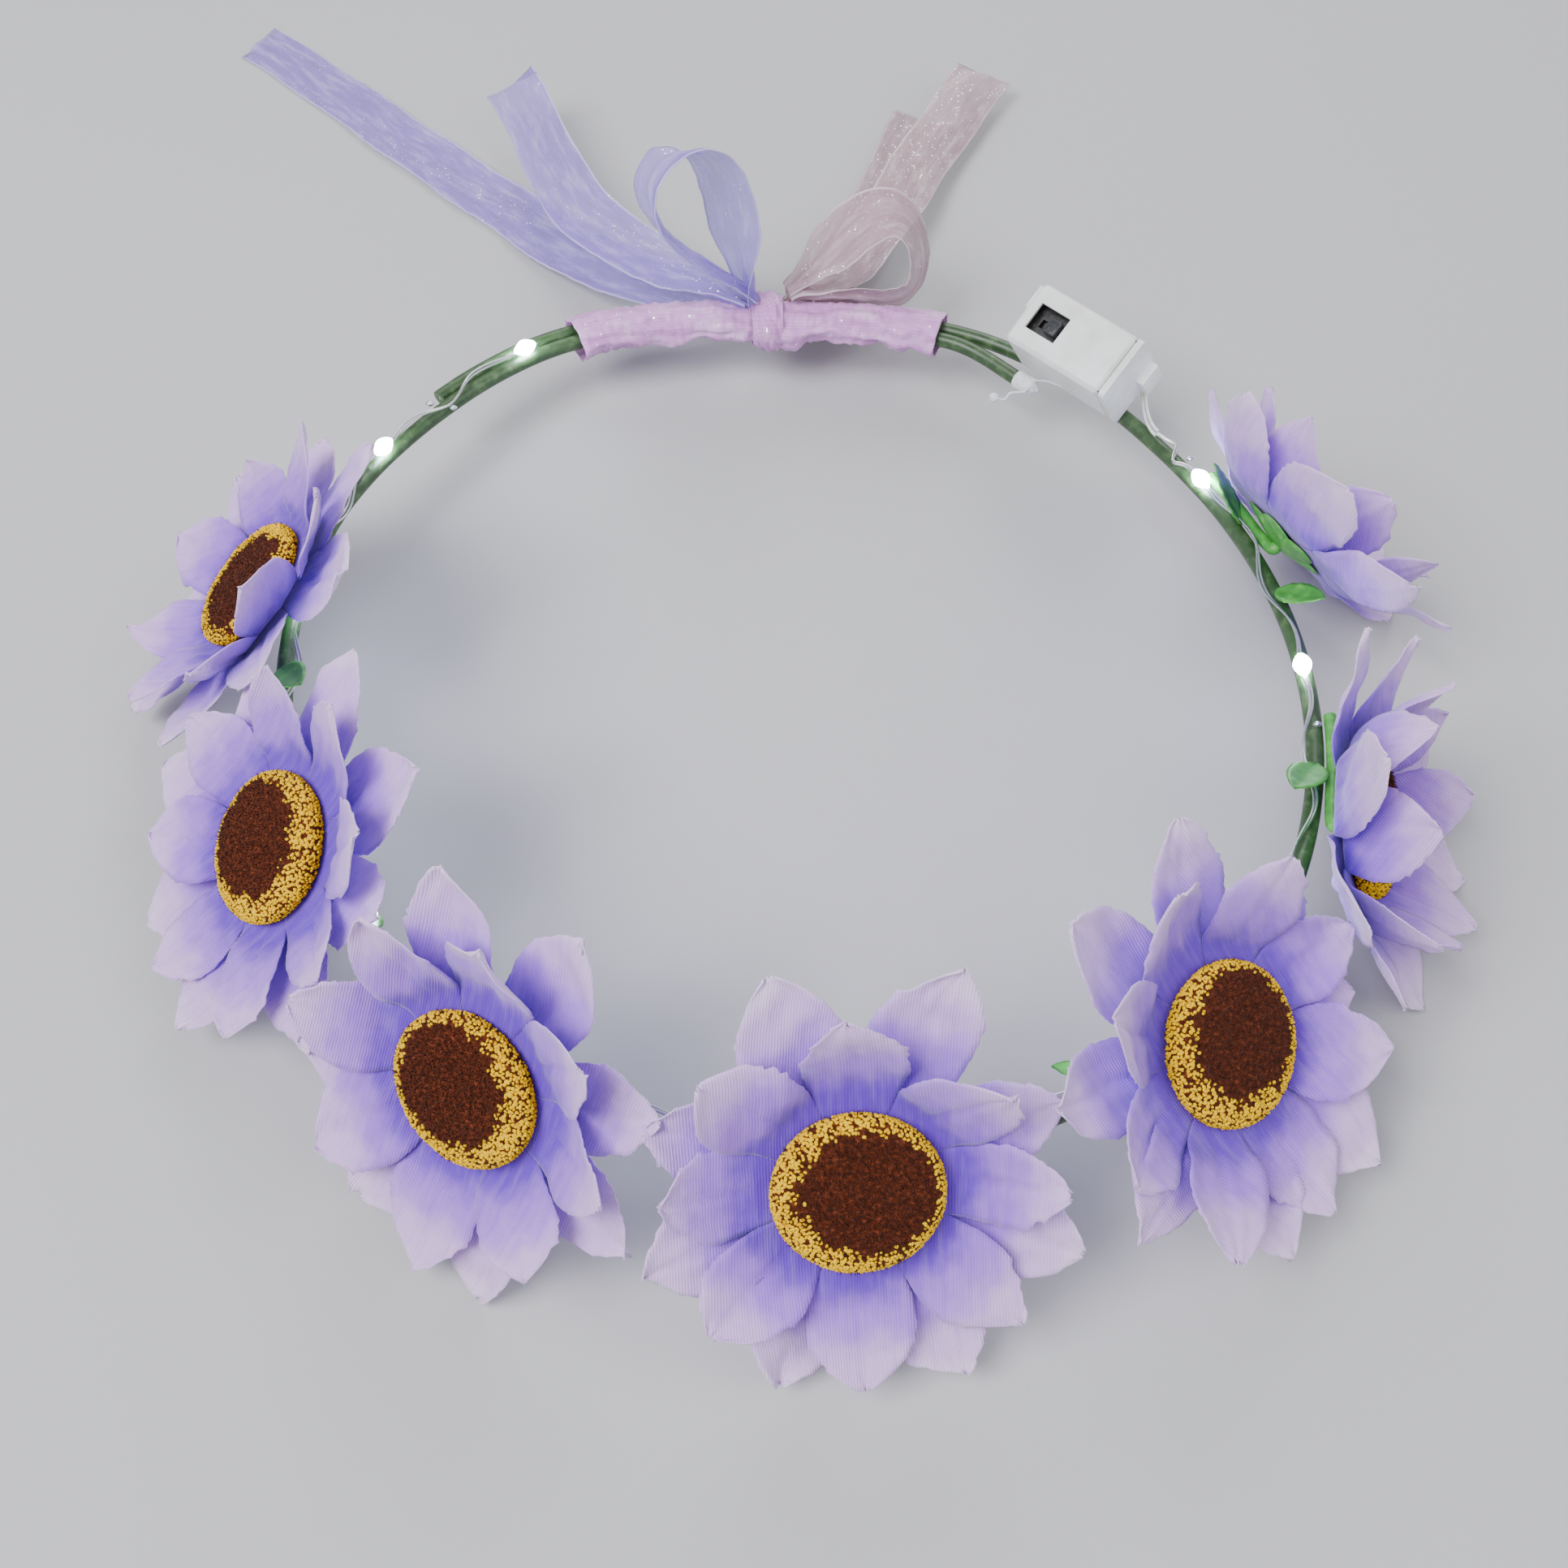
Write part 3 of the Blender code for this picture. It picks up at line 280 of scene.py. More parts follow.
def mesh_object(name, points, faces, uvs=None, edges=()):
    """Object from points and faces, with one UV for each point where they are given."""
    mesh = bpy.data.meshes.new(name)
    mesh.from_pydata([tuple(p) for p in points], list(edges), faces)
    mesh.validate()
    if uvs is not None:
        layer = mesh.uv_layers.new(name="cloth")
        corners = np.zeros(len(mesh.loops), dtype=np.int32)
        mesh.loops.foreach_get("vertex_index", corners)
        layer.data.foreach_set("uv", np.asarray(uvs, dtype=np.float32)[corners].ravel())
    mesh.shade_smooth()
    return placed_object(name, mesh)


def grid_faces(rows, columns, start=0, close_rows=False, close_columns=False):
    """Quads of a grid of points stored row after row."""
    faces = []
    for i in range(rows if close_rows else rows - 1):
        for j in range(columns if close_columns else columns - 1):
            below, above = start + i * columns, start + (i + 1) % rows * columns
            after = (j + 1) % columns
            faces.append((below + j, below + after, above + after, above + j))
    return faces


def capped_faces(rows, segments):
    """Faces of a stack of rings, closed at its top and its foot."""
    faces = grid_faces(rows, segments, close_columns=True)
    faces.append(tuple(range((rows - 1) * segments, rows * segments)))
    faces.append(tuple(reversed(range(segments))))
    return faces


def bake(source, name=None):
    """Replace an object by the plain mesh that its modifiers give."""
    bpy.context.view_layer.update()
    mesh = bpy.data.meshes.new_from_object(source.evaluated_get(bpy.context.evaluated_depsgraph_get()))
    name = name or source.name
    made = placed_object(name, mesh)
    bpy.data.objects.remove(source)
    made.name = name
    return made


def outward_faces(piece):
    """Merge a piece's doubled points, and turn its faces outwards."""
    bm = bmesh.new()
    bm.from_mesh(piece.data)
    bmesh.ops.remove_doubles(bm, verts=bm.verts, dist=1e-7)
    bmesh.ops.recalc_face_normals(bm, faces=bm.faces)
    bm.to_mesh(piece.data)
    bm.free()


def thickened(source, thickness):
    """Give an open cloth surface its thickness, as a plain mesh."""
    wall = source.modifiers.new("cloth", "SOLIDIFY")
    wall.thickness = thickness
    wall.offset = 0.0
    wall.use_even_offset = False
    return bake(source)


def finish_piece(piece, material, body="root", stands_for=()):
    """Give a piece its material and slot, and let it ride on its body."""
    piece.data.materials.clear()
    piece.data.materials.append(material)
    for polygon in piece.data.polygons:
        polygon.material_index = 0
    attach(piece, body)
    if stands_for:
        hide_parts(*stands_for)
    return piece


def paint_node(name, material):
    """Give a node of the frame its material."""
    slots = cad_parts[name].data.materials
    slots.clear()
    slots.append(material)


def node_points(name):
    """The separate points of a node of the frame."""
    points = np.array([v.co[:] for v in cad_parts[name].data.vertices])
    return np.unique(points.round(6), axis=0)


def frame_of(x_axis, y_axis, z_axis, origin):
    """Frame from its axes and its origin."""
    return Matrix.Translation(origin) @ Matrix((x_axis, y_axis, z_axis)).transposed().to_4x4()


def around(columns):
    """Cosine and sine of each angle of a ring."""
    turns = [2 * math.pi * j / columns for j in range(columns)]
    return [(math.cos(turn), math.sin(turn)) for turn in turns]


def headings(points):
    """Direction of a path at each of its points."""
    last = len(points) - 1
    return [(points[min(i + 1, last)] - points[max(i - 1, 0)]).normalized() for i in range(last + 1)]


def wobble(point, scale, seed=0.0):
    """Smooth noise from -1 to 1."""
    return noise.noise(Vector(point) * scale + Vector((seed * 7.3, seed * 3.1, seed * 5.7)))


# ---------------------------------------------------------------- the hoop's line

def hoop_point(azimuth, out=0.0, up=0.0):
    """Point beside the hoop's oval."""
    turn = math.radians(azimuth - HOOP_LONG_AXIS)
    flat = math.hypot(HOOP_SHORT_RADIUS * math.cos(turn), HOOP_LONG_RADIUS * math.sin(turn))
    from_back = abs((azimuth - HOOP_BACK[0] + 180) % 360 - 180)
    dip = HOOP_BACK[2] * math.cos(math.radians(90 * min(from_back / HOOP_BACK[1], 1))) ** 2
    radius = HOOP_LONG_RADIUS * HOOP_SHORT_RADIUS / flat - dip + out
    angle = math.radians(azimuth)
    return HOOP @ Vector((radius * math.cos(angle), radius * math.sin(angle), up))


def end_spring(azimuth):
    """How far the wire's free end has sprung off its course, from 0 to 1."""
    return ease((HOOP_END + END_SPRING[0] - azimuth) / END_SPRING[0])


def lap_offset(azimuth):
    """How far the wire lies off the oval: outside at its first end, inside at its second."""
    first = ease((azimuth - (HOOP_END + 360 - LAP_EASE)) / LAP_EASE)
    second = ease(((HOOP_START - 360 + LAP_EASE) - azimuth) / LAP_EASE)
    return LAP_SIDE * (first - second) - end_spring(azimuth) * END_SPRING[1]


def tube_middle(azimuth):
    """Middle of the hoop's wire."""
    return hoop_point(azimuth, lap_offset(azimuth), -end_spring(azimuth) * END_SPRING[2])


def beside_tube(azimuth, clock, distance):
    """Point at a distance from the wire's middle, at a clock angle round it."""
    turn = math.radians(clock)
    return hoop_point(azimuth, lap_offset(azimuth) + distance * math.cos(turn), distance * math.sin(turn))


def smooth_path(points, spans):
    """Points along a smooth curve through the given ones."""
    ends = [points[0] * 2 - points[1]] + list(points) + [points[-1] * 2 - points[-2]]
    path = []
    for i in range(len(points) - 1):
        before, first, second, after = ends[i:i + 4]
        for j in range(spans):
            t = j / spans
            bend = before * 2 - first * 5 + second * 4 - after
            twist = first * 3 - before - second * 3 + after
            path.append((first * 2 + (second - before) * t + bend * t ** 2 + twist * t ** 3) / 2)
    return path + [points[-1]]


# ---------------------------------------------------------------- node wiring

def wire_node(tree, kind, inputs=None, **settings):
    """Add a node, set it, and set or connect its inputs."""
    made = tree.nodes.new(kind)
    for key, value in settings.items():
        setattr(made, key, value)
    for key, value in (inputs or {}).items():
        if isinstance(value, bpy.types.NodeSocket):
            tree.links.new(value, made.inputs[key])
        else:
            made.inputs[key].default_value = value
    return made


def tinted(base, strength):
    """Colour times a strength."""
    return tuple(strength * c for c in base)


def new_material(name, base, roughness, **constants):
    """Material with a Principled shader; returns it, its tree and its shader."""
    made = bpy.data.materials.new(name)
    made.use_nodes = True
    tree = made.node_tree
    shader = tree.nodes["Principled BSDF"]
    shader.inputs["Base Color"].default_value = (*base, 1.0)
    shader.inputs["Roughness"].default_value = roughness
    for key, value in constants.items():
        shader.inputs[key.replace("_", " ")].default_value = value
    made.diffuse_color = (*base, 1.0)
    return made, tree, shader


def stretched(tree, vector, scale):
    """Coordinates scaled along each axis."""
    return wire_node(tree, "ShaderNodeMapping", {"Vector": vector, "Scale": scale}).outputs[0]


def coordinates(tree, output="Object"):
    """Object or UV coordinates."""
    return stretched(tree, wire_node(tree, "ShaderNodeTexCoord").outputs[output], (1, 1, 1))


def remapped(tree, value, low, high, from_low=0.0, from_high=1.0):
    """Value taken from one range to another, and held between its ends."""
    return wire_node(tree, "ShaderNodeMapRange", {"Value": value, "From Min": from_low, "From Max": from_high,
                                                  "To Min": low, "To Max": high}).outputs[0]


def feed(tree, shader, **sockets):
    """Connect sockets to the shader's inputs."""
    for key, socket in sockets.items():
        tree.links.new(socket, shader.inputs[key.replace("_", " ")])


def speckle(tree, vector, scale, detail=3.0, roughness=0.55):
    """Fine noise from 0 to 1."""
    return wire_node(tree, "ShaderNodeTexNoise", {"Vector": vector, "Scale": scale, "Detail": detail,
                                                  "Roughness": roughness}).outputs["Fac"]


def ramp(tree, factor, stops, interpolation="LINEAR"):
    """Colour ramp with (place, colour) stops."""
    made = wire_node(tree, "ShaderNodeValToRGB", {"Fac": factor})
    made.color_ramp.interpolation = interpolation
    elements = made.color_ramp.elements
    while len(elements) < len(stops):
        elements.new(1.0)
    for element, (place, shade) in zip(elements, stops):
        element.position = place
        element.color = (*shade, 1.0) if len(shade) == 3 else shade
    return made.outputs["Color"]


def blend_colours(tree, factor, first, second, mode="MIX"):
    """Mix two colours, each a socket or a plain colour."""
    made = wire_node(tree, "ShaderNodeMix", data_type="RGBA", blend_type=mode)
    for key, value in ((0, factor), (6, first), (7, second)):
        if isinstance(value, bpy.types.NodeSocket):
            tree.links.new(value, made.inputs[key])
        else:
            made.inputs[key].default_value = value if key == 0 else (*value, 1.0)
    return made.outputs[2]


def bumped(tree, shader, *layers):
    """Stack bumps of (height socket, strength, distance) under the shader."""
    normal = None
    for height, strength, distance in layers:
        inputs = {"Height": height, "Strength": strength, "Distance": distance}
        if normal:
            inputs["Normal"] = normal
        normal = wire_node(tree, "ShaderNodeBump", inputs).outputs[0]
    tree.links.new(normal, shader.inputs["Normal"])


def ripple(tree, value, pitch):
    """Sine of a length, once for each pitch."""
    return math_node(tree, "SINE", math_node(tree, "MULTIPLY", value, 2 * math.pi / pitch))


def math_node(tree, operation, first, second=0.0, third=0.0):
    """Result of a math operation on sockets or plain numbers."""
    made = wire_node(tree, "ShaderNodeMath", operation=operation)
    for key, value in enumerate((first, second, third)):
        if isinstance(value, bpy.types.NodeSocket):
            tree.links.new(value, made.inputs[key])
        else:
            made.inputs[key].default_value = value
    return made.outputs[0]


# ---------------------------------------------------------------- materials

def petal_cloth(flowers):
    """Ribbed violet cloth, deep beside the disc and lilac at the tips; UVs are metres from the middle."""
    made, tree, shader = new_material("petal_cloth", flowers.middle, 0.72, Sheen_Weight=0.35,
                                      Sheen_Roughness=0.4, Subsurface_Weight=0.12,
                                      Subsurface_Scale=0.002, Specular_IOR_Level=0.25)
    shader.inputs["Subsurface Radius"].default_value = (0.8, 0.6, 1.0)
    flat = coordinates(tree, "UV")
    parts = wire_node(tree, "ShaderNodeSeparateXYZ", {0: flat})
    reach = wire_node(tree, "ShaderNodeVectorMath", {0: flat}, operation="LENGTH").outputs["Value"]
    drift = speckle(tree, flat, 160.0, 2.0)
    share = math_node(tree, "MULTIPLY_ADD", drift, 0.0080, math_node(tree, "SUBTRACT", reach, 0.0040))
    share = remapped(tree, share, 0.0, 1.0, 0.0115, 0.0350)
    shade = ramp(tree, share, ((0.0, flowers.deep), (0.14, flowers.deep), (0.42, flowers.middle),
                               (0.74, flowers.tip), (1.0, (0.80, 0.60, 0.90))), "EASE")
    # streaks along the ribs: paler ones, and darker ones of deep violet that are painted shade
    streaks_and_shade = speckle(tree, stretched(tree, flat, (900, 90, 1)), 1.0, 3.0)
    shade = blend_colours(tree, remapped(tree, streaks_and_shade, 0.0, 0.12, 0.45, 0.75), shade, (0.80, 0.68, 0.90))
    # darker streaks of deep violet: painted shade
    shade = blend_colours(tree, remapped(tree, streaks_and_shade, 0.0, 0.22, 0.46, 0.20), shade, flowers.deep)
    rib = ripple(tree, parts.outputs["X"], RIB_PITCH)
    shade = blend_colours(tree, math_node(tree, "MULTIPLY_ADD", rib, 0.09, 0.09), shade, (0.10, 0.05, 0.32))
    feed(tree, shader, Base_Color=shade)
    weave = math_node(tree, "MULTIPLY_ADD", ripple(tree, parts.outputs["Y"], PETAL_WEFT), 0.35, rib)
    bumped(tree, shader, (drift, 0.25, 0.0008), (weave, 0.45, 0.00008))
    return made


def flock_fibre(flowers):
    """Dark flock with lighter fibre ends."""
    made, tree, shader = new_material("flock_fibre", flowers.flock, 0.95, Sheen_Weight=0.10,
                                      Sheen_Roughness=0.35, Specular_IOR_Level=0.15)
    place = coordinates(tree)
    shade = ramp(tree, speckle(tree, place, 1500.0, 4.0), (
        (0.30, tinted(flowers.flock, 0.35)), (0.55, flowers.flock),
        (0.72, (0.20, 0.045, 0.018)), (0.80, (0.30, 0.085, 0.04))))
    feed(tree, shader, Base_Color=shade)
    bumped(tree, shader, (speckle(tree, place, 2600.0, 2.0), 0.8, 0.0003))
    return made


def granule_yellow(flowers):
    """Bright yellow granules, each a little different."""
    made, tree, shader = new_material("granule_yellow", flowers.yellow, 0.75, Specular_IOR_Level=0.1)
    place = coordinates(tree)
    shade = ramp(tree, speckle(tree, place, 900.0, 3.0), (
        (0.26, (0.52, 0.22, 0.0)), (0.40, flowers.yellow), (0.62, (0.90, 0.58, 0.0)),
        (0.8, (0.95, 0.66, 0.0))))
    feed(tree, shader, Base_Color=shade)
    bumped(tree, shader, (speckle(tree, place, 4000.0, 2.0), 0.5, 0.0002))
    return made


def green_plastic(name, base, roughness, paler):
    """Moulded green plastic with faint flow lines and worn, paler patches."""
    made, tree, shader = new_material(name, base, roughness, Subsurface_Weight=0.06, Subsurface_Scale=0.001,
                                      Coat_Weight=0.12, Coat_Roughness=0.3)
    place = coordinates(tree)
    worn = speckle(tree, place, 420.0, 4.0, 0.6)
    feed(tree, shader, Base_Color=ramp(tree, worn, ((0.30, tinted(base, 0.62)), (0.52, base), (0.74, paler))),
         Roughness=remapped(tree, worn, roughness - 0.1, roughness + 0.22))
    bumped(tree, shader, (speckle(tree, place, 2200.0, 3.0), 0.18, 0.0002))
    return made


def metal(name, base, roughness, scale):
    """Bare metal with fine drawing marks."""
    made, tree, shader = new_material(name, base, roughness, Metallic=1.0)
    marks = speckle(tree, coordinates(tree), scale, 4.0, 0.65)
    feed(tree, shader, Base_Color=ramp(tree, marks, ((0.25, tinted(base, 0.72)), (0.7, base))),
         Roughness=remapped(tree, marks, roughness * 0.6, roughness * 1.5))
    bumped(tree, shader, (marks, 0.12, 0.0001))
    return made


def lamp_resin(string):
    """Clear cast resin, lit from inside."""
    made, tree, shader = new_material("lamp_resin", (0.95, 0.98, 1.0), 0.06, Transmission_Weight=0.75,
                                      IOR=1.5, Coat_Weight=0.4, Coat_Roughness=0.04)
    shader.inputs["Emission Color"].default_value = (*string.light, 1.0)
    shader.inputs["Emission Strength"].default_value = string.halo
    cloud = speckle(tree, coordinates(tree), 700.0, 2.0)
    feed(tree, shader, Base_Color=ramp(tree, cloud, ((0.3, (0.86, 0.92, 1.0)), (0.7, (1.0, 1.0, 1.0)))))
    bumped(tree, shader, (cloud, 0.12, 0.0003))
    return made


def lamp_chip(string):
    """The lit chip in the resin."""
    made, tree, shader = new_material("lamp_chip", (1.0, 1.0, 1.0), 0.4)
    shader.inputs["Emission Strength"].default_value = string.glow
    hot = speckle(tree, coordinates(tree), 900.0, 1.0)
    feed(tree, shader, Emission_Color=ramp(tree, hot, ((0.2, string.light), (0.8, (1.0, 1.0, 1.0)))))
    return made


def case_plastic(string):
    """White moulded plastic with fine spark texture and slight yellowing."""
    made, tree, shader = new_material("case_plastic", string.case, 0.34, Subsurface_Weight=0.15,
                                      Subsurface_Scale=0.0015, Coat_Weight=0.15, Coat_Roughness=0.2)
    place = coordinates(tree)
    stain = speckle(tree, place, 160.0, 4.0, 0.6)
    shade = ramp(tree, stain, ((0.25, (0.66, 0.69, 0.63)), (0.5, string.case), (0.75, (0.88, 0.89, 0.90))))
    feed(tree, shader, Base_Color=shade, Roughness=remapped(tree, stain, 0.26, 0.5))
    bumped(tree, shader, (speckle(tree, place, 3500.0, 2.0), 0.10, 0.0002))
    return made


def switch_plastic(name, base, smooth, rough):
    """Dark plastic with scuffs and dust, between two roughnesses."""
    made, tree, shader = new_material(name, base, rough)
    scuff = speckle(tree, coordinates(tree), 1300.0, 5.0, 0.7)
    shade = ramp(tree, scuff, ((0.45, tinted(base, 0.7)), (0.66, tinted(base, 1.6)),
                               (0.78, (0.24, 0.24, 0.25))))
    feed(tree, shader, Base_Color=shade, Roughness=remapped(tree, scuff, smooth, rough))
    bumped(tree, shader, (scuff, 0.25, 0.0002))
    return made


def cloudy_glue():
    """Cloudy hot-melt glue."""
    made, tree, shader = new_material("cloudy_glue", (0.80, 0.83, 0.80), 0.22, Transmission_Weight=0.35,
                                      IOR=1.48, Subsurface_Weight=0.3, Subsurface_Scale=0.002)
    cloud = speckle(tree, coordinates(tree), 500.0, 4.0)
    feed(tree, shader, Base_Color=ramp(tree, cloud, ((0.3, (0.62, 0.68, 0.62)), (0.7, (0.92, 0.94, 0.92)))))
    bumped(tree, shader, (cloud, 0.5, 0.0005))
    return made


def frayed_tape():
    """White woven tape with loose threads."""
    made, tree, shader = new_material("frayed_tape", (0.82, 0.84, 0.85), 0.7, Sheen_Weight=0.3)
    thread = speckle(tree, coordinates(tree), 2400.0, 4.0)
    feed(tree, shader, Base_Color=ramp(tree, thread, ((0.3, (0.55, 0.58, 0.60)), (0.65, (0.92, 0.93, 0.95)))))
    bumped(tree, shader, (thread, 0.7, 0.0003))
    return made


def organza(name, base, cover):
    """Sheer organza with glitter, and denser selvedges whose pale colour is a painted highlight; UVs 0 to 1
    across and in metres along.
    """
    made, tree, shader = new_material(name, base, 0.42, Sheen_Weight=0.6, Sheen_Roughness=0.3,
                                      Specular_IOR_Level=0.6)
    flat = coordinates(tree, "UV")
    parts = wire_node(tree, "ShaderNodeSeparateXYZ", {0: flat})
    across = parts.outputs["X"]
    cloth = stretched(tree, flat, (0.014, 1, 1))
    weave = math_node(tree, "MAXIMUM", ripple(tree, across, 1 / RIBBON_ENDS),
                      ripple(tree, parts.outputs["Y"], RIBBON_WEFT))
    edge = math_node(tree, "ABSOLUTE", math_node(tree, "SUBTRACT", across, 0.5))
    selvedge_and_glint = remapped(tree, edge, 0.0, 1.0, 0.455, 0.478)
    drift = speckle(tree, stretched(tree, cloth, (1, 0.16, 1)), 520.0, 4.0, 0.6)
    spots = wire_node(tree, "ShaderNodeTexVoronoi", {"Vector": cloth, "Scale": 2300.0})
    spark = wire_node(tree, "ShaderNodeSeparateColor", {0: spots.outputs["Color"]})
    near = math_node(tree, "LESS_THAN", spots.outputs["Distance"], 0.34)
    glitter = math_node(tree, "MULTIPLY", math_node(tree, "GREATER_THAN", spark.outputs[0], 0.935), near)
    pale = tuple(min(1.0, 0.45 + 0.6 * c) for c in base)
    shade = ramp(tree, drift, ((0.25, tinted(base, 0.80)), (0.5, base), (0.80, pale)))
    # selvedges mixed towards pale: a painted highlight on the denser edge
    shade = blend_colours(tree, math_node(tree, "MULTIPLY", selvedge_and_glint, 0.55), shade, pale)
    shade = blend_colours(tree, glitter, shade, (1.0, 0.97, 1.0))
    sheer = math_node(tree, "MULTIPLY_ADD", weave, 0.10, cover - 0.12)
    sheer = math_node(tree, "MULTIPLY_ADD", drift, 0.30, sheer)
    sheer = math_node(tree, "MAXIMUM", sheer, math_node(tree, "MULTIPLY", selvedge_and_glint, 0.92))
    sheer = math_node(tree, "MAXIMUM", sheer, glitter)
    feed(tree, shader, Base_Color=shade, Metallic=math_node(tree, "MULTIPLY", glitter, 0.8),
         Roughness=remapped(tree, glitter, 0.45, 0.12), Alpha=math_node(tree, "MINIMUM", sheer, 1.0))
    bumped(tree, shader, (drift, 0.3, 0.0006), (weave, 0.25, 0.00006))
    return made


def studio_paper(floor):
    """Pale matt floor."""
    made, tree, shader = new_material("studio_paper", floor, 0.85, Specular_IOR_Level=0.2)
    tone = speckle(tree, coordinates(tree), 3.0, 2.0)
    feed(tree, shader, Base_Color=ramp(tree, tone, ((0.3, tinted(floor, 0.97)), (0.7, floor))))
    return made


# ---------------------------------------------------------------- geometry node trees

def new_tree(name, inputs):
    """Geometry tree with named inputs of (name, kind of socket, default)."""
    tree = bpy.data.node_groups.new(name, "GeometryNodeTree")
    tree.interface.new_socket("Geometry", in_out="INPUT", socket_type="NodeSocketGeometry")
    for label, kind, default in inputs:
        socket = tree.interface.new_socket(label, in_out="INPUT", socket_type="NodeSocket" + kind)
        if default is not None:
            socket.default_value = default
    tree.interface.new_socket("Geometry", in_out="OUTPUT", socket_type="NodeSocketGeometry")
    return tree, tree.nodes.new("NodeGroupInput"), tree.nodes.new("NodeGroupOutput")


def end_tree(tree, given, result, geometry):
    """Close a tree with Realize Instances and Set Material."""
    whole = wire_node(tree, "GeometryNodeRealizeInstances", {0: geometry})
    painted = wire_node(tree, "GeometryNodeSetMaterial", {"Geometry": whole.outputs[0],
                                                          "Material": given.outputs["Material"]})
    tree.links.new(painted.outputs[0], result.inputs[0])
    return tree


def sweep_tree():
    """Round tube along the edges of a line."""
    tree, given, result = new_tree("sweep", (("Diameter", "Float", 0.001), ("Sides", "Int", 12),
                                             ("Material", "Material", None)))
    line = wire_node(tree, "GeometryNodeMeshToCurve", {0: given.outputs["Geometry"]})
    radius = wire_node(tree, "ShaderNodeMath", {0: given.outputs["Diameter"], 1: 0.5}, operation="MULTIPLY")
    ring = wire_node(tree, "GeometryNodeCurvePrimitiveCircle", {"Resolution": given.outputs["Sides"],
                                                                "Radius": radius.outputs[0]})
    tube = wire_node(tree, "GeometryNodeCurveToMesh", {
        "Curve": line.outputs[0], "Profile Curve": ring.outputs[0], "Fill Caps": True})
    return end_tree(tree, given, result, tube.outputs[0])


def scatter_tree(name, grain_kind, grain_inputs, tilt):
    """Scatter a small shape over a surface where its attribute "cover" says."""
    tree, given, result = new_tree(name, (("Density", "Float", 1000.0), ("Size", "Float", 0.0005),
                                          ("Seed", "Int", 1), ("Material", "Material", None)))
    cover = wire_node(tree, "GeometryNodeInputNamedAttribute", {"Name": "cover"}, data_type="FLOAT")
    density = wire_node(tree, "ShaderNodeMath", {0: cover.outputs[0], 1: given.outputs["Density"]},
                        operation="MULTIPLY")
    spread = wire_node(tree, "GeometryNodeDistributePointsOnFaces", {
        "Mesh": given.outputs["Geometry"], "Density": density.outputs[0], "Seed": given.outputs["Seed"]})
    grain = wire_node(tree, grain_kind, grain_inputs)
    turn = wire_node(tree, "FunctionNodeRandomValue", {
        0: (-tilt, -tilt, -math.pi), 1: (tilt, tilt, math.pi), "Seed": given.outputs["Seed"]},
        data_type="FLOAT_VECTOR")
    turned = wire_node(tree, "FunctionNodeRotateRotation", {0: spread.outputs["Rotation"], 1: turn.outputs[0]},
                       rotation_space="LOCAL")
    size = wire_node(tree, "FunctionNodeRandomValue", {0: (0.6, 0.6, 0.6), 1: (1.4, 1.3, 1.3)},
                     data_type="FLOAT_VECTOR")
    scale = wire_node(tree, "ShaderNodeVectorMath", {0: size.outputs[0], "Scale": given.outputs["Size"]},
                      operation="SCALE")
    placed = wire_node(tree, "GeometryNodeInstanceOnPoints", {
        "Points": spread.outputs["Points"], "Instance": grain.outputs[0], "Rotation": turned.outputs[0],
        "Scale": scale.outputs[0]})
    return end_tree(tree, given, result, placed.outputs[0])


def copies_tree():
    """A copy of a model at each point, turned by the attribute "turn" and sized by "size"."""
    tree, given, result = new_tree("copies", (("Model", "Object", None), ("Material", "Material", None)))
    model = wire_node(tree, "GeometryNodeObjectInfo", {"Object": given.outputs["Model"]})
    turn = wire_node(tree, "GeometryNodeInputNamedAttribute", {"Name": "turn"}, data_type="FLOAT_VECTOR")
    size = wire_node(tree, "GeometryNodeInputNamedAttribute", {"Name": "size"}, data_type="FLOAT")
    placed = wire_node(tree, "GeometryNodeInstanceOnPoints", {
        "Points": given.outputs["Geometry"], "Instance": model.outputs["Geometry"],
        "Rotation": turn.outputs[0], "Scale": size.outputs[0]})
    return end_tree(tree, given, result, placed.outputs[0])


def grown(name, source, tree, values):
    """Run a tree on an object, and keep what it gives as a plain mesh."""
    modifier = source.modifiers.new(tree.name, "NODES")
    modifier.node_group = tree
    for item in tree.interface.items_tree:
        if item.in_out == "INPUT" and item.name in values:
            modifier[item.identifier] = values[item.name]
    made = bake(source, name)
    made.data.shade_smooth()
    return made


def tube(name, points, diameter, material, sides=12):
    """Round tube along points."""
    line = mesh_object(name + "_line", points, [], edges=[(i, i + 1) for i in range(len(points) - 1)])
    return grown(name, line, TREES["sweep"], {"Diameter": diameter, "Sides": sides, "Material": material})


def merged(name, objects):
    """Several mesh objects as one."""
    bm = bmesh.new()
    for source in objects:
        bm.from_mesh(source.data)
        bpy.data.objects.remove(source)
    return shaped_object(name, bm)


# ---------------------------------------------------------------- flowers

def flower_frame(number):
    """Frame of a flower: Z out of its face, Y up its face, origin on the seat of its disc."""
    disc = node_points("flower_%d_disc" % number)
    middle = disc.mean(axis=0)
    axis = Vector(np.linalg.svd(disc - middle)[2][2])
    if axis.dot(Vector(middle - node_points("flower_%d_calyx" % number).mean(axis=0))) < 0:
        axis.negate()
    top = ((disc - middle) @ np.array(axis)).max()
    up = (HOOP_UP - axis * HOOP_UP.dot(axis)).normalized()
    return frame_of(up.cross(axis), up, axis, Vector(middle) + axis * (top - DISC_TOP))


def petal_reach(flowers, angle):
    """How far a petal reaches, by its angle from the top of the flower."""
    lengthwise = flowers.reach_up if math.cos(angle) > 0 else flowers.reach_down
    return between(lengthwise, flowers.reach_side, abs(math.sin(angle)) ** 2)


def petal_outline(share, point=2.2):
    """Half width of a petal at a share of its length beyond the disc, as a share of its widest."""
    body = 0.66 + 0.34 * math.sin(math.pi / 2 * min(share / 0.42, 1.0))
    end = 1 - (1 - min((1 - min(share, 1.0)) / 0.56, 1.0)) ** point
    return body * end


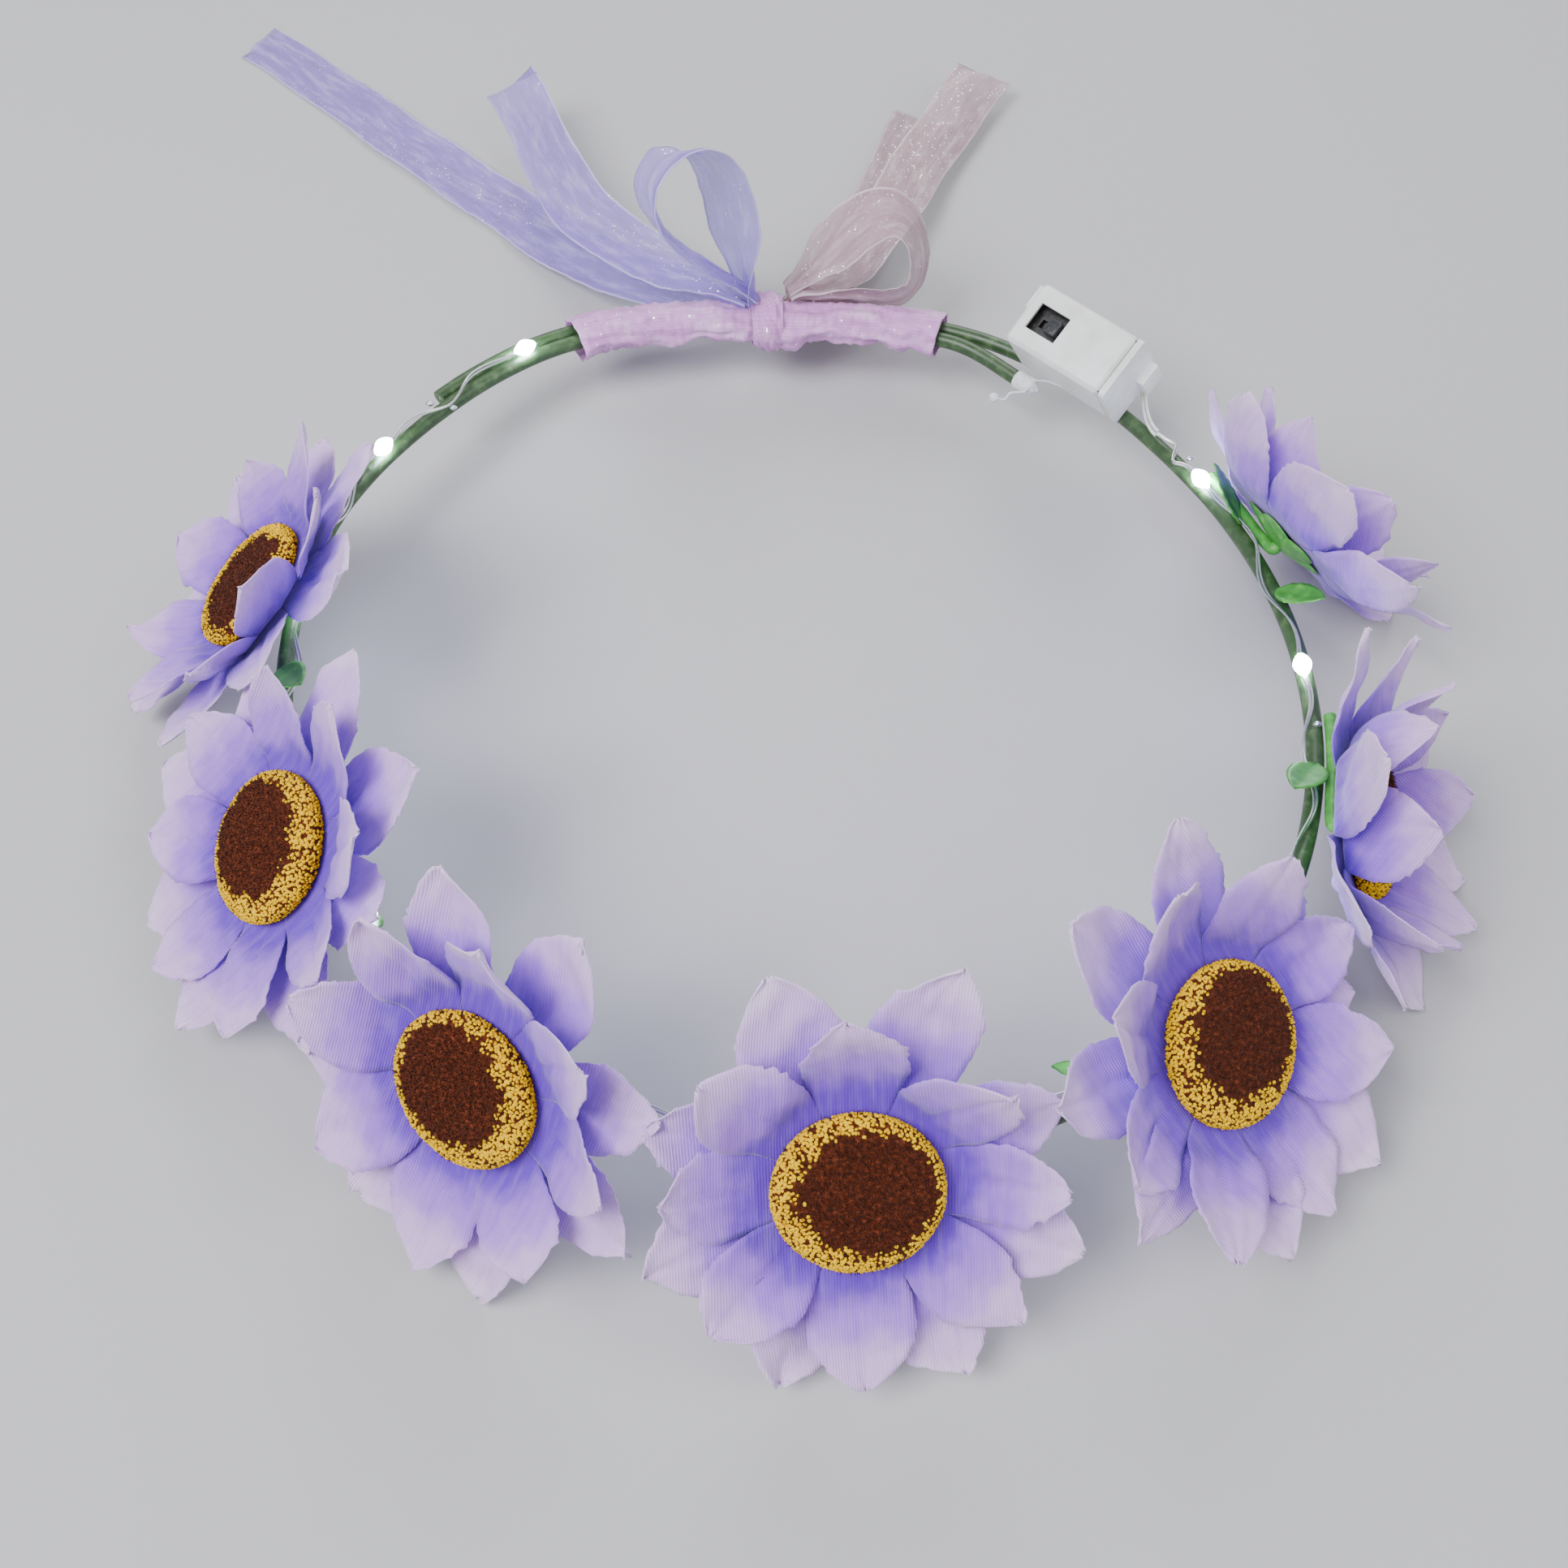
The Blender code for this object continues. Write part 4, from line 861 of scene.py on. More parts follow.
def petal_grid(flowers, rng, angle, reach, cup, seat, shingle):
    """Points and flat places of one petal, from under the disc to its tip."""
    rows, columns = 44, 15
    rim, hub = flowers.disc_radius, HUB_RADIUS
    widest = flowers.petal_width / 2 * rng.uniform(0.90, 1.06) * (reach / flowers.reach_up) ** 0.6
    curl = rng.uniform(-16.0, 20.0)
    twist = math.radians(rng.uniform(-12.0, 12.0))
    sway = math.radians(rng.uniform(-5.0, 5.0))
    fold = rng.uniform(0.5, 1.2) * 0.0009
    bowl = rng.uniform(-0.02, 0.16)
    seed = rng.uniform(0.0, 50.0)
    point = rng.uniform(1.9, 2.7)
    blunt = 0.035 * (seed % 1.0)
    teeth = [(rng.uniform(0.55, 0.94), rng.uniform(0.04, 0.13)) if rng.random() < 0.75 else (2.0, 0.0)
             for _ in range(2)]
    along, height = hub, 0.0
    points, flats = [], []
    outward = Vector((math.sin(angle), math.cos(angle), 0))
    aside = Vector((math.cos(angle), -math.sin(angle), 0))
    for i in range(rows):
        distance = between(hub, reach, i / (rows - 1))
        share = max(0.0, (distance - rim) / (reach - rim))
        slope = math.radians((cup + curl * (share - 0.35)) * ease(share * 4))
        step = (reach - hub) / (rows - 1) if i else 0.0
        along += math.cos(slope) * step
        height += math.sin(slope) * step
        blend = ease(share * 3)
        wedge = distance * math.tan(math.pi / flowers.petals)
        half = wedge
        if share > 0:
            half = between(wedge, widest * petal_outline(share * (1 - blunt), point), ease(share * 5))
        drift = sway * share * share
        middle = (outward * math.cos(drift) + aside * math.sin(drift)) * along + Vector((0, 0, seat + height))
        normal = Vector((0, 0, 1)) * math.cos(slope) - outward * math.sin(slope)
        roll = twist * share
        side = aside * math.cos(roll) + normal * math.sin(roll)
        raised = normal * math.cos(roll) - aside * math.sin(roll)
        for j in range(columns):
            t = -1 + 2 * j / (columns - 1)
            start, depth = teeth[0 if t < 0 else 1]
            torn = 1 - depth * (1 if share > start else 0) * abs(t) ** 3
            fray = 1 + 0.035 * wobble((distance, t, seed), 900.0) * abs(t) ** 6 * blend
            torn_edge = 0.5 + wobble((i * 0.16, 1.3 if t < 0 else 6.1, seed), 1.0)
            ragged = 0.0019 * torn_edge * wobble((i * 0.83, 3.7 if t < 0 else 9.1, seed), 1.0)
            ragged *= min(1.0, half / 0.002)
            reach_aside = half * t * torn * fray
            reach_aside += math.copysign(ragged * t ** 4 * ease((share - 0.35) / 0.3), t)
            notch = 0.0007 * wobble((j * 0.77, 5.0, seed), 1.0) * share ** 14
            lift = bowl * half * (t * t - 0.35) + 0.0007 * ease(share * 4) * (1 if shingle else -1)
            crease = math.exp(-(t / 0.13) ** 2) + 0.5 * math.exp(-((abs(t) - 0.5) / 0.10) ** 2)
            lift -= fold * crease * (1 - share * 0.7)
            spot = (along * outward.x + t * 0.006, along * outward.y, seed * 0.01)
            lift += 0.0010 * wobble(spot, 190.0, seed)
            lift += 0.0006 * t * t * math.sin(seed + share * 7.0 + (2.0 if t > 0 else 0.0)) * share
            points.append(middle + side * reach_aside + outward * notch + raised * (lift * blend))
            flats.append(tuple(distance * outward[k] + reach_aside * aside[k] for k in (0, 1)))
    return points, flats, rows, columns


def beside_neighbours(place, angle, reach, lean, sector):
    """Reach of a petal, shortened where its tip would pass the middle between two flowers."""
    slope = math.radians(lean)
    aside = Vector((math.sin(angle) * math.cos(slope), math.cos(angle) * math.cos(slope), math.sin(slope)))
    tip = place @ (aside * reach)
    azimuth = math.degrees(math.atan2(tip.y, tip.x))
    middle = (sector[0] + sector[1]) / 2
    azimuth = middle + (azimuth - middle + 180) % 360 - 180
    beyond = max(azimuth - sector[1], sector[0] - azimuth, 0.0)
    return max(reach - math.radians(beyond) * math.hypot(tip.x, tip.y), reach * SHORTEST_PETAL)


def petal_layer(flowers, name, place, rng, leans, phase, seat, share, sector):
    """One layer of petals, as a single cut of cloth."""
    points, flats, faces = [], [], []
    for i in range(flowers.petals):
        angle = 2 * math.pi * (i + phase) / flowers.petals
        reach = petal_reach(flowers, angle) * share * rng.uniform(0.95, 1.04)
        lean = between(leans[1], leans[0], (1 + math.cos(angle)) / 2) + rng.uniform(-6.0, 8.0)
        reach = beside_neighbours(place, angle, reach, lean, sector)
        some, flat, rows, columns = petal_grid(flowers, rng, angle, reach, lean, seat, i % 2)
        faces += grid_faces(rows, columns, len(points))
        for point in some:
            point = place @ point
            point.z = max(point.z, TABLE_TOUCH * (1 + 0.5 * wobble(point, 300.0)))
            points.append(point)
        flats += flat
    sheet = mesh_object(name, points, faces, flats)
    flip_towards(sheet, place.to_3x3().col[2])
    return thickened(sheet, flowers.cloth)


def flip_towards(piece, direction):
    """Turn a sheet's faces so that most look along a direction."""
    total = Vector()
    for polygon in piece.data.polygons:
        total += polygon.normal * polygon.area
    if total.dot(direction) < 0:
        piece.data.flip_normals()


class CROWN_OT_petals(bpy.types.Operator):
    """Cut the petal layers of every flower"""
    bl_idname = "crown.petals"
    bl_label = "Petals"

    def execute(self, context):
        flowers = context.scene.crown_flowers
        cloth = petal_cloth(flowers)
        limits = [-270.0] + [row[0] for row in FLOWERS] + [90.0]
        for number, (_, cup, top_lean, foot_lean, _) in enumerate(FLOWERS, 1):
            rng = np.random.default_rng(FLOWER_SEEDS + number)
            place = flower_frame(number)
            before, here, after = limits[number - 1:number + 2]
            sector = ((before + here) / 2, (here + after) / 2)
            for layer, phase, seat, share, leans in (
                    ("outer", 0.5, OUTER_SEAT, 1.0, (cup, cup)),
                    ("inner", 0.0, INNER_SEAT, flowers.inner_share, (cup + top_lean, cup + foot_lean))):
                name = "flower_%d_petals_%s" % (number, layer)
                piece = petal_layer(flowers, "daisy_%d_%s_petals" % (number, layer), place, rng, leans,
                                    phase, seat, share, sector)
                finish_piece(piece, cloth, stands_for=[name])
        return {"FINISHED"}


# ---------------------------------------------------------------- discs

def disc_surface(flowers, name, place, seed, wide_side):
    """Domed disc, with the attributes that say where granules and flock grow."""
    radius = flowers.disc_radius
    segments = 72
    points, covers = [], []
    for share, height in DISC_PROFILE:
        for j in range(segments):
            angle = 2 * math.pi * j / segments
            spot = Vector((radius * share * math.cos(angle), radius * share * math.sin(angle), height * MM))
            spot.z += 0.00022 * wobble(spot, 260.0, seed)
            width = 0.20 + 0.13 * math.cos(angle - math.radians(wide_side))
            rim = (math.cos(angle), math.sin(angle), seed)
            width += 0.075 * wobble(rim, 2.2) + 0.05 * wobble(rim, 7.0)
            inside = share if height > 2 else 1.0 + (2.0 - height) * 0.05
            ring = 1.0 if 1.0 - inside < width and height > -0.2 else 0.0
            gap = wobble(spot, 700.0, seed + 3)
            covers.append(ring if gap > -0.42 else 0.0)
            points.append(spot)
    made = mesh_object(name, [place @ p for p in points], capped_faces(len(DISC_PROFILE), segments))
    covers = np.array(covers, dtype=np.float32)
    cover = made.data.attributes.new("cover", "FLOAT", "POINT")
    cover.data.foreach_set("value", covers)
    return made, covers


class CROWN_OT_discs(bpy.types.Operator):
    """Make the flocked centres with their yellow granules"""
    bl_idname = "crown.discs"
    bl_label = "Discs"

    def execute(self, context):
        flowers = context.scene.crown_flowers
        flock, yellow = flock_fibre(flowers), granule_yellow(flowers)
        granules = scatter_tree("granules", "GeometryNodeMeshIcoSphere",
                                {"Radius": 0.5, "Subdivisions": 1}, 1.5)
        fibres = scatter_tree("fibres", "GeometryNodeMeshCone", {
            "Vertices": 3, "Radius Top": 0.03, "Radius Bottom": 0.13, "Depth": 1.0}, 0.6)
        for number, (*_, wide_side) in enumerate(FLOWERS, 1):
            place = flower_frame(number)
            name = "daisy_%d_" % number
            ring, covers = disc_surface(flowers, name + "ring", place, number, wide_side)
            piece = grown(name + "granules", ring, granules, {
                "Density": GRANULES, "Size": flowers.granule, "Seed": number, "Material": yellow})
            finish_piece(piece, yellow)
            pile, _ = disc_surface(flowers, name + "pile", place, number, wide_side)
            pile.data.attributes["cover"].data.foreach_set("value", 1.0 - 0.75 * covers)
            piece = grown(name + "flock", pile, fibres, {
                "Density": FIBRES, "Size": flowers.fibre, "Seed": 50 + number, "Material": flock})
            finish_piece(piece, flock)
            dome, _ = disc_surface(flowers, name + "disc", place, number, wide_side)
            finish_piece(dome, flock, stands_for=["flower_%d_disc" % number])
        return {"FINISHED"}


# ---------------------------------------------------------------- calyces, stems and leaves

def calyx_surface(name, place):
    """Green cup under the petals, with soft lobes."""
    segments = 72
    points = []
    for radius, height in CALYX_PROFILE:
        deep = ease((radius - 0.0025) / 0.006)
        for j in range(segments):
            angle = 2 * math.pi * j / segments
            scallop = 1 - 0.30 * deep * (1 - abs(math.cos(angle * CALYX_LOBES / 2)) ** 0.7)
            ridge = 0.00012 * math.cos(angle * CALYX_LOBES) * deep
            points.append(place @ Vector((radius * scallop * math.sin(angle),
                                          radius * scallop * math.cos(angle), height + ridge - CALYX_FOOT)))
    made = mesh_object(name, points, capped_faces(len(CALYX_PROFILE), segments))
    outward_faces(made)
    return made


def stem_line(place, azimuth, towards_bow):
    """Stem's middle line: along the hoop, then up into the calyx."""
    beside = TUBE_RADIUS + STEM_RADIUS + 0.0003
    axis = place.to_3x3().col[2]
    clock = math.degrees(math.asin(max(-1.0, min(1.0, axis.dot(HOOP_UP)))))
    points = [beside_tube(azimuth + towards_bow * STEM_ARC * share, clock, beside)
              for share in (1.0, 0.75, 0.5, 0.28)]
    points += [place @ Vector((0, 0, height)) for height in (-0.0052, -0.0038)]
    return smooth_path(points, 6)


def leaf_surface(name, place, size, rng):
    """Small pointed plastic leaf with a midrib, lying along X of its place."""
    rows, columns = 14, 9
    points = []
    bend = rng.uniform(0.2, 0.5)
    for i in range(rows):
        share = i / (rows - 1)
        half = size * 0.26 * math.sin(math.pi * share ** 0.8) ** 0.8 + 0.00035 * (1 - share)
        for j in range(columns):
            t = -1 + 2 * j / (columns - 1)
            rise = 0.18 * half * abs(t) + bend * size * share * share * 0.4
            rise += 0.0001 * math.cos(share * 40) * abs(t)
            points.append(place @ Vector((size * share, half * t, rise)))
    return thickened(mesh_object(name, points, grid_faces(rows, columns)), LEAF_THICKNESS)


class CROWN_OT_greens(bpy.types.Operator):
    """Make the calyces, stems and leaves"""
    bl_idname = "crown.greens"
    bl_label = "Greens"

    def execute(self, context):
        flowers = context.scene.crown_flowers
        green = green_plastic("leaf_green", flowers.green, 0.42, (0.16, 0.52, 0.10))
        for number, (azimuth, *_) in enumerate(FLOWERS, 1):
            place = flower_frame(number)
            name = "daisy_%d_" % number
            towards_bow = 1 if azimuth > FRONT_AZIMUTH else -1
            cup = calyx_surface(name + "cup", place)
            stem = tube(name + "stem", stem_line(place, azimuth, towards_bow), 2 * STEM_RADIUS, green)
            finish_piece(merged(name + "calyx", [cup, stem]), green,
                         stands_for=["flower_%d_calyx" % number]).data.shade_smooth()
        rng = np.random.default_rng(7)
        leaves = []
        for i, (azimuth, clock, turn, size) in enumerate(LEAVES):
            foot = beside_tube(azimuth, clock, TUBE_RADIUS * 1.2)
            along = (beside_tube(azimuth + 0.5, clock, TUBE_RADIUS)
                     - beside_tube(azimuth - 0.5, clock, TUBE_RADIUS)).normalized()
            away = (foot - tube_middle(azimuth)).normalized()
            across = away.cross(along)
            heading = along * math.cos(math.radians(turn)) + across * math.sin(math.radians(turn))
            heading = (heading + away * 0.35).normalized()
            face = (away - heading * away.dot(heading)).normalized()
            place = frame_of(heading, face.cross(heading), face, foot)
            leaves.append(leaf_surface("leaf_%d" % i, place, size, rng))
        finish_piece(merged("stem_leaves", leaves), green).data.shade_smooth()
        return {"FINISHED"}


# ---------------------------------------------------------------- hoop

class CROWN_OT_hoop(bpy.types.Operator):
    """Draw the hoop's green sleeve and finish its core"""
    bl_idname = "crown.hoop"
    bl_label = "Hoop"

    def execute(self, context):
        string = context.scene.crown_string
        green = green_plastic("sleeve_green", string.sleeve, 0.36, (0.10, 0.17, 0.07))
        spans = 420
        below_door = -box_place().to_3x3().col[2]
        points = []
        for i in range(spans + 1):
            azimuth = between(HOOP_START, HOOP_END, i / spans)
            clear = math.exp(-((azimuth - DOOR_AZIMUTH) / DOOR_ARC) ** 2)
            point = tube_middle(azimuth)
            uneven = HOOP_UP * 0.00008 * wobble(point, 120.0)
            points.append(point + uneven + below_door * DOOR_CLEARANCE * clear)
        sleeve = tube("hoop_sleeve", points, 2 * TUBE_RADIUS, green, sides=20)
        finish_piece(sleeve, green, stands_for=["hoop_tube"])
        paint_node("hoop_core_wire", metal("core_steel", (0.50, 0.50, 0.51), 0.38, 1500.0))
        return {"FINISHED"}


# ---------------------------------------------------------------- lamp string

def bezier(start, start_pull, end_pull, end, share):
    """Point of a curve that leaves and arrives towards its two pulls."""
    back = 1 - share
    return (start * back ** 3 + start_pull * 3 * back ** 2 * share
            + end_pull * 3 * back * share ** 2 + end * share ** 3)


def box_place():
    """Frame of the battery box, as in the design: X along it, Y outwards, Z out of its switch face."""
    along = (tube_middle(BOX_AZIMUTH - 1) - tube_middle(BOX_AZIMUTH + 1)).normalized()
    lean = math.radians(BOX_LEAN)
    across = HOOP_UP.cross(along) * math.cos(lean) + HOOP_UP * math.sin(lean)
    normal = along.cross(across)
    middle = tube_middle(BOX_AZIMUTH) - across * BOX_ACROSS + normal * BOX_ABOVE
    return frame_of(along, across, normal, middle)


def lead_line():
    """Middle line of the two leads, from inside the box down to the hoop."""
    place = box_place()
    inside = place @ Vector(LEAD_HOLE)
    down = -place.to_3x3().col[2]
    outside = inside + down * LEAD_OUT
    join = beside_tube(*WIRE_JOIN, WIRE_STANDOFF)
    onward = (beside_tube(WIRE_JOIN[0] - 2.0, WIRE_JOIN[1], WIRE_STANDOFF) - join).normalized()
    drop, rise = outside + down * LEAD_SAG, join - onward * LEAD_PULL
    return [inside] + [bezier(outside, drop, rise, join, i / 15) for i in range(16)]


def wire_line():
    """Middle line of the lamp wire along the hoop, from the leads round to the last lamp."""
    places = [WIRE_JOIN]
    for azimuth, clock in LAMPS:
        last_azimuth, last_clock = places[-1]
        first, second = azimuth + LAMP_HALF_ARC, azimuth - LAMP_HALF_ARC
        spans = max(3, round((last_azimuth - first) / 1.6))
        for i in range(1, spans):
            share = i / spans
            loose = 38 * math.sin(math.pi * share) * math.sin(share * 9 + azimuth)
            places.append((between(last_azimuth, first, share),
                           between(last_clock, clock, ease(share)) + loose))
        places += [(first, clock), (second, clock)]
    return [beside_tube(azimuth, clock, WIRE_STANDOFF) for azimuth, clock in places]


class CROWN_OT_lamps(bpy.types.Operator):
    """String the lamps along the hoop"""
    bl_idname = "crown.lamps"
    bl_label = "Lamps"

    def execute(self, context):
        string = context.scene.crown_string
        silver = metal("wire_silver", (0.82, 0.83, 0.86), 0.30, 3000.0)
        resin, chip = lamp_resin(string), lamp_chip(string)
        points = smooth_path(wire_line(), 3)
        strands = []
        for number, phase in enumerate((0.0, math.pi)):
            shifted = []
            run = 0.0
            for i, (point, ahead) in enumerate(zip(points, headings(points))):
                run += (point - points[max(i - 1, 0)]).length
                side = ahead.cross(HOOP_UP).normalized()
                lift = side.cross(ahead)
                turn = phase + run / STRAND_TURN
                apart = string.strand * (0.62 + 0.35 * abs(wobble((run, 0, 0), 60.0)))
                shifted.append(point + (side * math.cos(turn) + lift * math.sin(turn)) * apart)
            strands.append(tube("strand_%d" % number, shifted, string.strand, silver, sides=8))
        finish_piece(merged("lamp_wire_strands", strands), silver, stands_for=["lamp_wire"])

        path = lead_line()
        aside = box_place().to_3x3().col[1] * string.strand * 1.1
        white = case_plastic(string)
        leads = [tube("lead_%d" % i, [p + aside * sign for p in path], string.strand * 1.5, white, sides=10)
                 for i, sign in enumerate((-1, 1))]
        finish_piece(merged("box_leads", leads), white)

        drop = self.drop_model(string)
        die = self.chip_model()
        spots, turns = [], []
        for azimuth, clock in LAMPS:
            before = beside_tube(azimuth + LAMP_HALF_ARC, clock, WIRE_STANDOFF)
            after = beside_tube(azimuth - LAMP_HALF_ARC, clock, WIRE_STANDOFF)
            middle, along = (before + after) / 2, (after - before).normalized()
            away = middle - tube_middle(azimuth)
            away = (away - along * away.dot(along)).normalized()
            spots.append(middle + away * LAMP_RISE)
            turns.append(Matrix((along, away.cross(along), away)).transposed().to_euler())
        nodes = ["lamp_%02d" % (i + 1) for i in range(len(LAMPS))]
        drops = self.copies("lamp_drops", spots, turns, [1.0] * len(spots), drop, resin)
        finish_piece(drops, resin, stands_for=nodes)
        finish_piece(self.copies("lamp_chips", spots, turns, [1.0] * len(spots), die, chip), chip)
        spots = [beside_tube(azimuth, clock, WIRE_STANDOFF * 0.9) for azimuth, clock in BEADS]
        turns = [Matrix.Identity(3).to_euler()] * len(BEADS)
        sizes = [0.30 + 0.03 * (i % 3) for i in range(len(BEADS))]
        beads = self.copies("wire_beads", spots, turns, sizes, drop, silver)
        finish_piece(beads, silver)
        for model in (drop, die):
            bpy.data.objects.remove(model)
        return {"FINISHED"}

    @staticmethod
    def copies(name, spots, turns, sizes, model, material):
        """Copies of a model at the spots."""
        points = mesh_object(name + "_spots", spots, [])
        turn = points.data.attributes.new("turn", "FLOAT_VECTOR", "POINT")
        turn.data.foreach_set("vector", np.array([tuple(t) for t in turns], dtype=np.float32).ravel())
        size = points.data.attributes.new("size", "FLOAT", "POINT")
        size.data.foreach_set("value", np.array(sizes, dtype=np.float32))
        return grown(name, points, TREES["copies"], {"Model": model, "Material": material})

    @staticmethod
    def drop_model(string):
        """Resin drop: a spindle with soft shoulders, lying along X."""
        bm = bmesh.new()
        bmesh.ops.create_uvsphere(bm, u_segments=24, v_segments=18, radius=1.0,
                                  matrix=Matrix.Rotation(math.pi / 2, 4, "Y"))
        for vert in bm.verts:
            x = vert.co.x
            swell = 1.0 + 0.10 * math.cos(3 * x) - 0.10 * abs(x)
            vert.co = Vector((x * string.drop_length / 2, vert.co.y * swell * string.drop_width / 2,
                              vert.co.z * swell * string.drop_width / 2))
        return shaped_object("drop_model", bm)

    @staticmethod
    def chip_model():
        """Lit chip with rounded edges."""
        bm = bmesh.new()
        bmesh.ops.create_cube(bm, size=1.0, matrix=Matrix.Diagonal((*CHIP_SIZE, 1.0)))
        bmesh.ops.bevel(bm, geom=bm.edges[:], offset=0.0002, segments=2, affect="EDGES")
        return shaped_object("chip_model", bm)


# ---------------------------------------------------------------- battery box

def corner_edges(bm):
    """Sharp edges where two of the box's long sides meet."""
    inverse = box_place().inverted()
    spots = [inverse @ v.co for v in bm.verts]
    chosen = []
    for edge in bm.edges:
        middle = inverse @ ((edge.verts[0].co + edge.verts[1].co) / 2)
        outermost = all(abs(middle[k]) > max(abs(p[k]) for p in spots) - OUTLINE_REACH for k in (1, 2))
        if outermost and edge.calc_face_angle(0.0) > math.radians(60.0):
            chosen.append(edge)
    return chosen


def bent_edges(bm, least, most):
    """Edges whose two faces meet at an angle between two limits."""
    return [edge for edge in bm.edges
            if len(edge.link_faces) == 2 and least < math.degrees(edge.calc_face_angle(0.0)) < most]


def softened(node, name, edge, corner=0.0):
    """Copy of a node with its flat faces joined, its chamfers and corners rounded, its edges broken."""
    bm = bmesh.new()
    bm.from_mesh(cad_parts[node].data)
    bmesh.ops.remove_doubles(bm, verts=bm.verts, dist=2e-6)
    bmesh.ops.dissolve_limit(bm, angle_limit=math.radians(1.0), verts=bm.verts, edges=bm.edges)
    if corner:
        bmesh.ops.bevel(bm, geom=corner_edges(bm), offset=corner, segments=6, affect="EDGES", profile=0.5)
    blunt = bent_edges(bm, 35.0, 55.0)
    if blunt:
        bmesh.ops.bevel(bm, geom=blunt, offset=CHAMFER_ROUND, segments=4, affect="EDGES", clamp_overlap=True,
                        profile=0.5)
    sharp = bent_edges(bm, 60.0, 181.0)
    bmesh.ops.bevel(bm, geom=sharp, offset=edge, segments=3, affect="EDGES", clamp_overlap=True, profile=0.6)
    bmesh.ops.triangulate(bm, faces=bm.faces)
    made = shaped_object(name, bm)
    made.data.shade_smooth()
    made.data.set_sharp_from_angle(angle=math.radians(25.0))
    return made


class CROWN_OT_battery_box(bpy.types.Operator):
    """Finish the battery box, its switch and its glue"""
    bl_idname = "crown.battery_box"
    bl_label = "Battery box"

    def execute(self, context):
        string = context.scene.crown_string
        white = case_plastic(string)
        black = switch_plastic("switch_plastic", (0.018, 0.018, 0.020), 0.20, 0.60)
        glossy = switch_plastic("slider_plastic", (0.045, 0.047, 0.052), 0.08, 0.30)
        for node, name, edge, corner, plastic, slot, body in (
                ("battery_case", "case_shell", 0.00030, 0.0, white, "case", "root"),
                ("battery_door", "door_shell", 0.00025, 0.0010, white, "case", "battery_door"),
                ("switch_body", "switch_base", 0.00012, 0.0, black, "switch", "root"),
                ("switch_knob", "switch_slider", 0.00022, 0.0, glossy, "switch", "switch_knob")):
            finish_piece(softened(node, name, edge, corner), plastic, body, [node])
        self.slider_ribs(glossy)
        steel = metal("cell_steel", (0.62, 0.62, 0.63), 0.25, 900.0)
        for number in range(1, 4):
            paint_node("button_cell_%d" % number, steel)
        nickel = metal("contact_nickel", (0.66, 0.63, 0.56), 0.28, 1400.0)
        paint_node("contact_plate", nickel)
        paint_node("contact_leaf", nickel)
        self.glue()
        return {"FINISHED"}

    @staticmethod
    def slider_ribs(plastic):
        """Grip ribs on the switch's slider."""
        place = box_place()
        local = np.array(place.to_3x3().transposed())
        spread = node_points("switch_knob") @ local.T
        low, high = spread.min(axis=0), spread.max(axis=0)
        bm = bmesh.new()
        for i in range(SLIDER_RIBS):
            x = between(low[0], high[0], (i + 1) / (SLIDER_RIBS + 1))
            middle = Vector(np.array((x, (low[1] + high[1]) / 2, high[2] + RIB_RISE)) @ local)
            size = Matrix.Diagonal((RIB_SIZE, (high[1] - low[1]) * 0.8, RIB_SIZE, 1.0))
            turned = place.to_3x3().to_4x4()
            bmesh.ops.create_cube(bm, size=1.0, matrix=Matrix.Translation(middle) @ turned @ size)
        bmesh.ops.bevel(bm, geom=bm.edges[:], offset=0.00006, segments=1, affect="EDGES")
        finish_piece(shaped_object("slider_ribs", bm), plastic, "switch_knob")

    @staticmethod
    def glue():
        """Uneven bead of glue between the wire and the box."""
        points, rows, columns = [], 40, 20
        for i in range(rows):
            share = i / (rows - 1)
            azimuth = between(GLUE_FROM, GLUE_TO, share)
            fade = math.sin(math.pi * share) ** 0.45
            behind, middle, ahead = (beside_tube(azimuth + step, 90.0 + BOX_LEAN, GLUE_SINK)
                                     for step in (0.5, 0.0, -0.5))
            along = (ahead - behind).normalized()
            away = (middle - tube_middle(azimuth)).normalized()
            across = away.cross(along).normalized()
            for c, s in around(columns):
                size = (GLUE_RADIUS + 0.00040 * wobble((share * 4, c, s), 1.6)) * fade
                points.append(middle + (across * c + away * s) * size)
        bead = mesh_object("glue_bead", points, grid_faces(rows, columns, close_columns=True))
        outward_faces(bead)
        finish_piece(bead, cloudy_glue(), stands_for=["box_glue"])


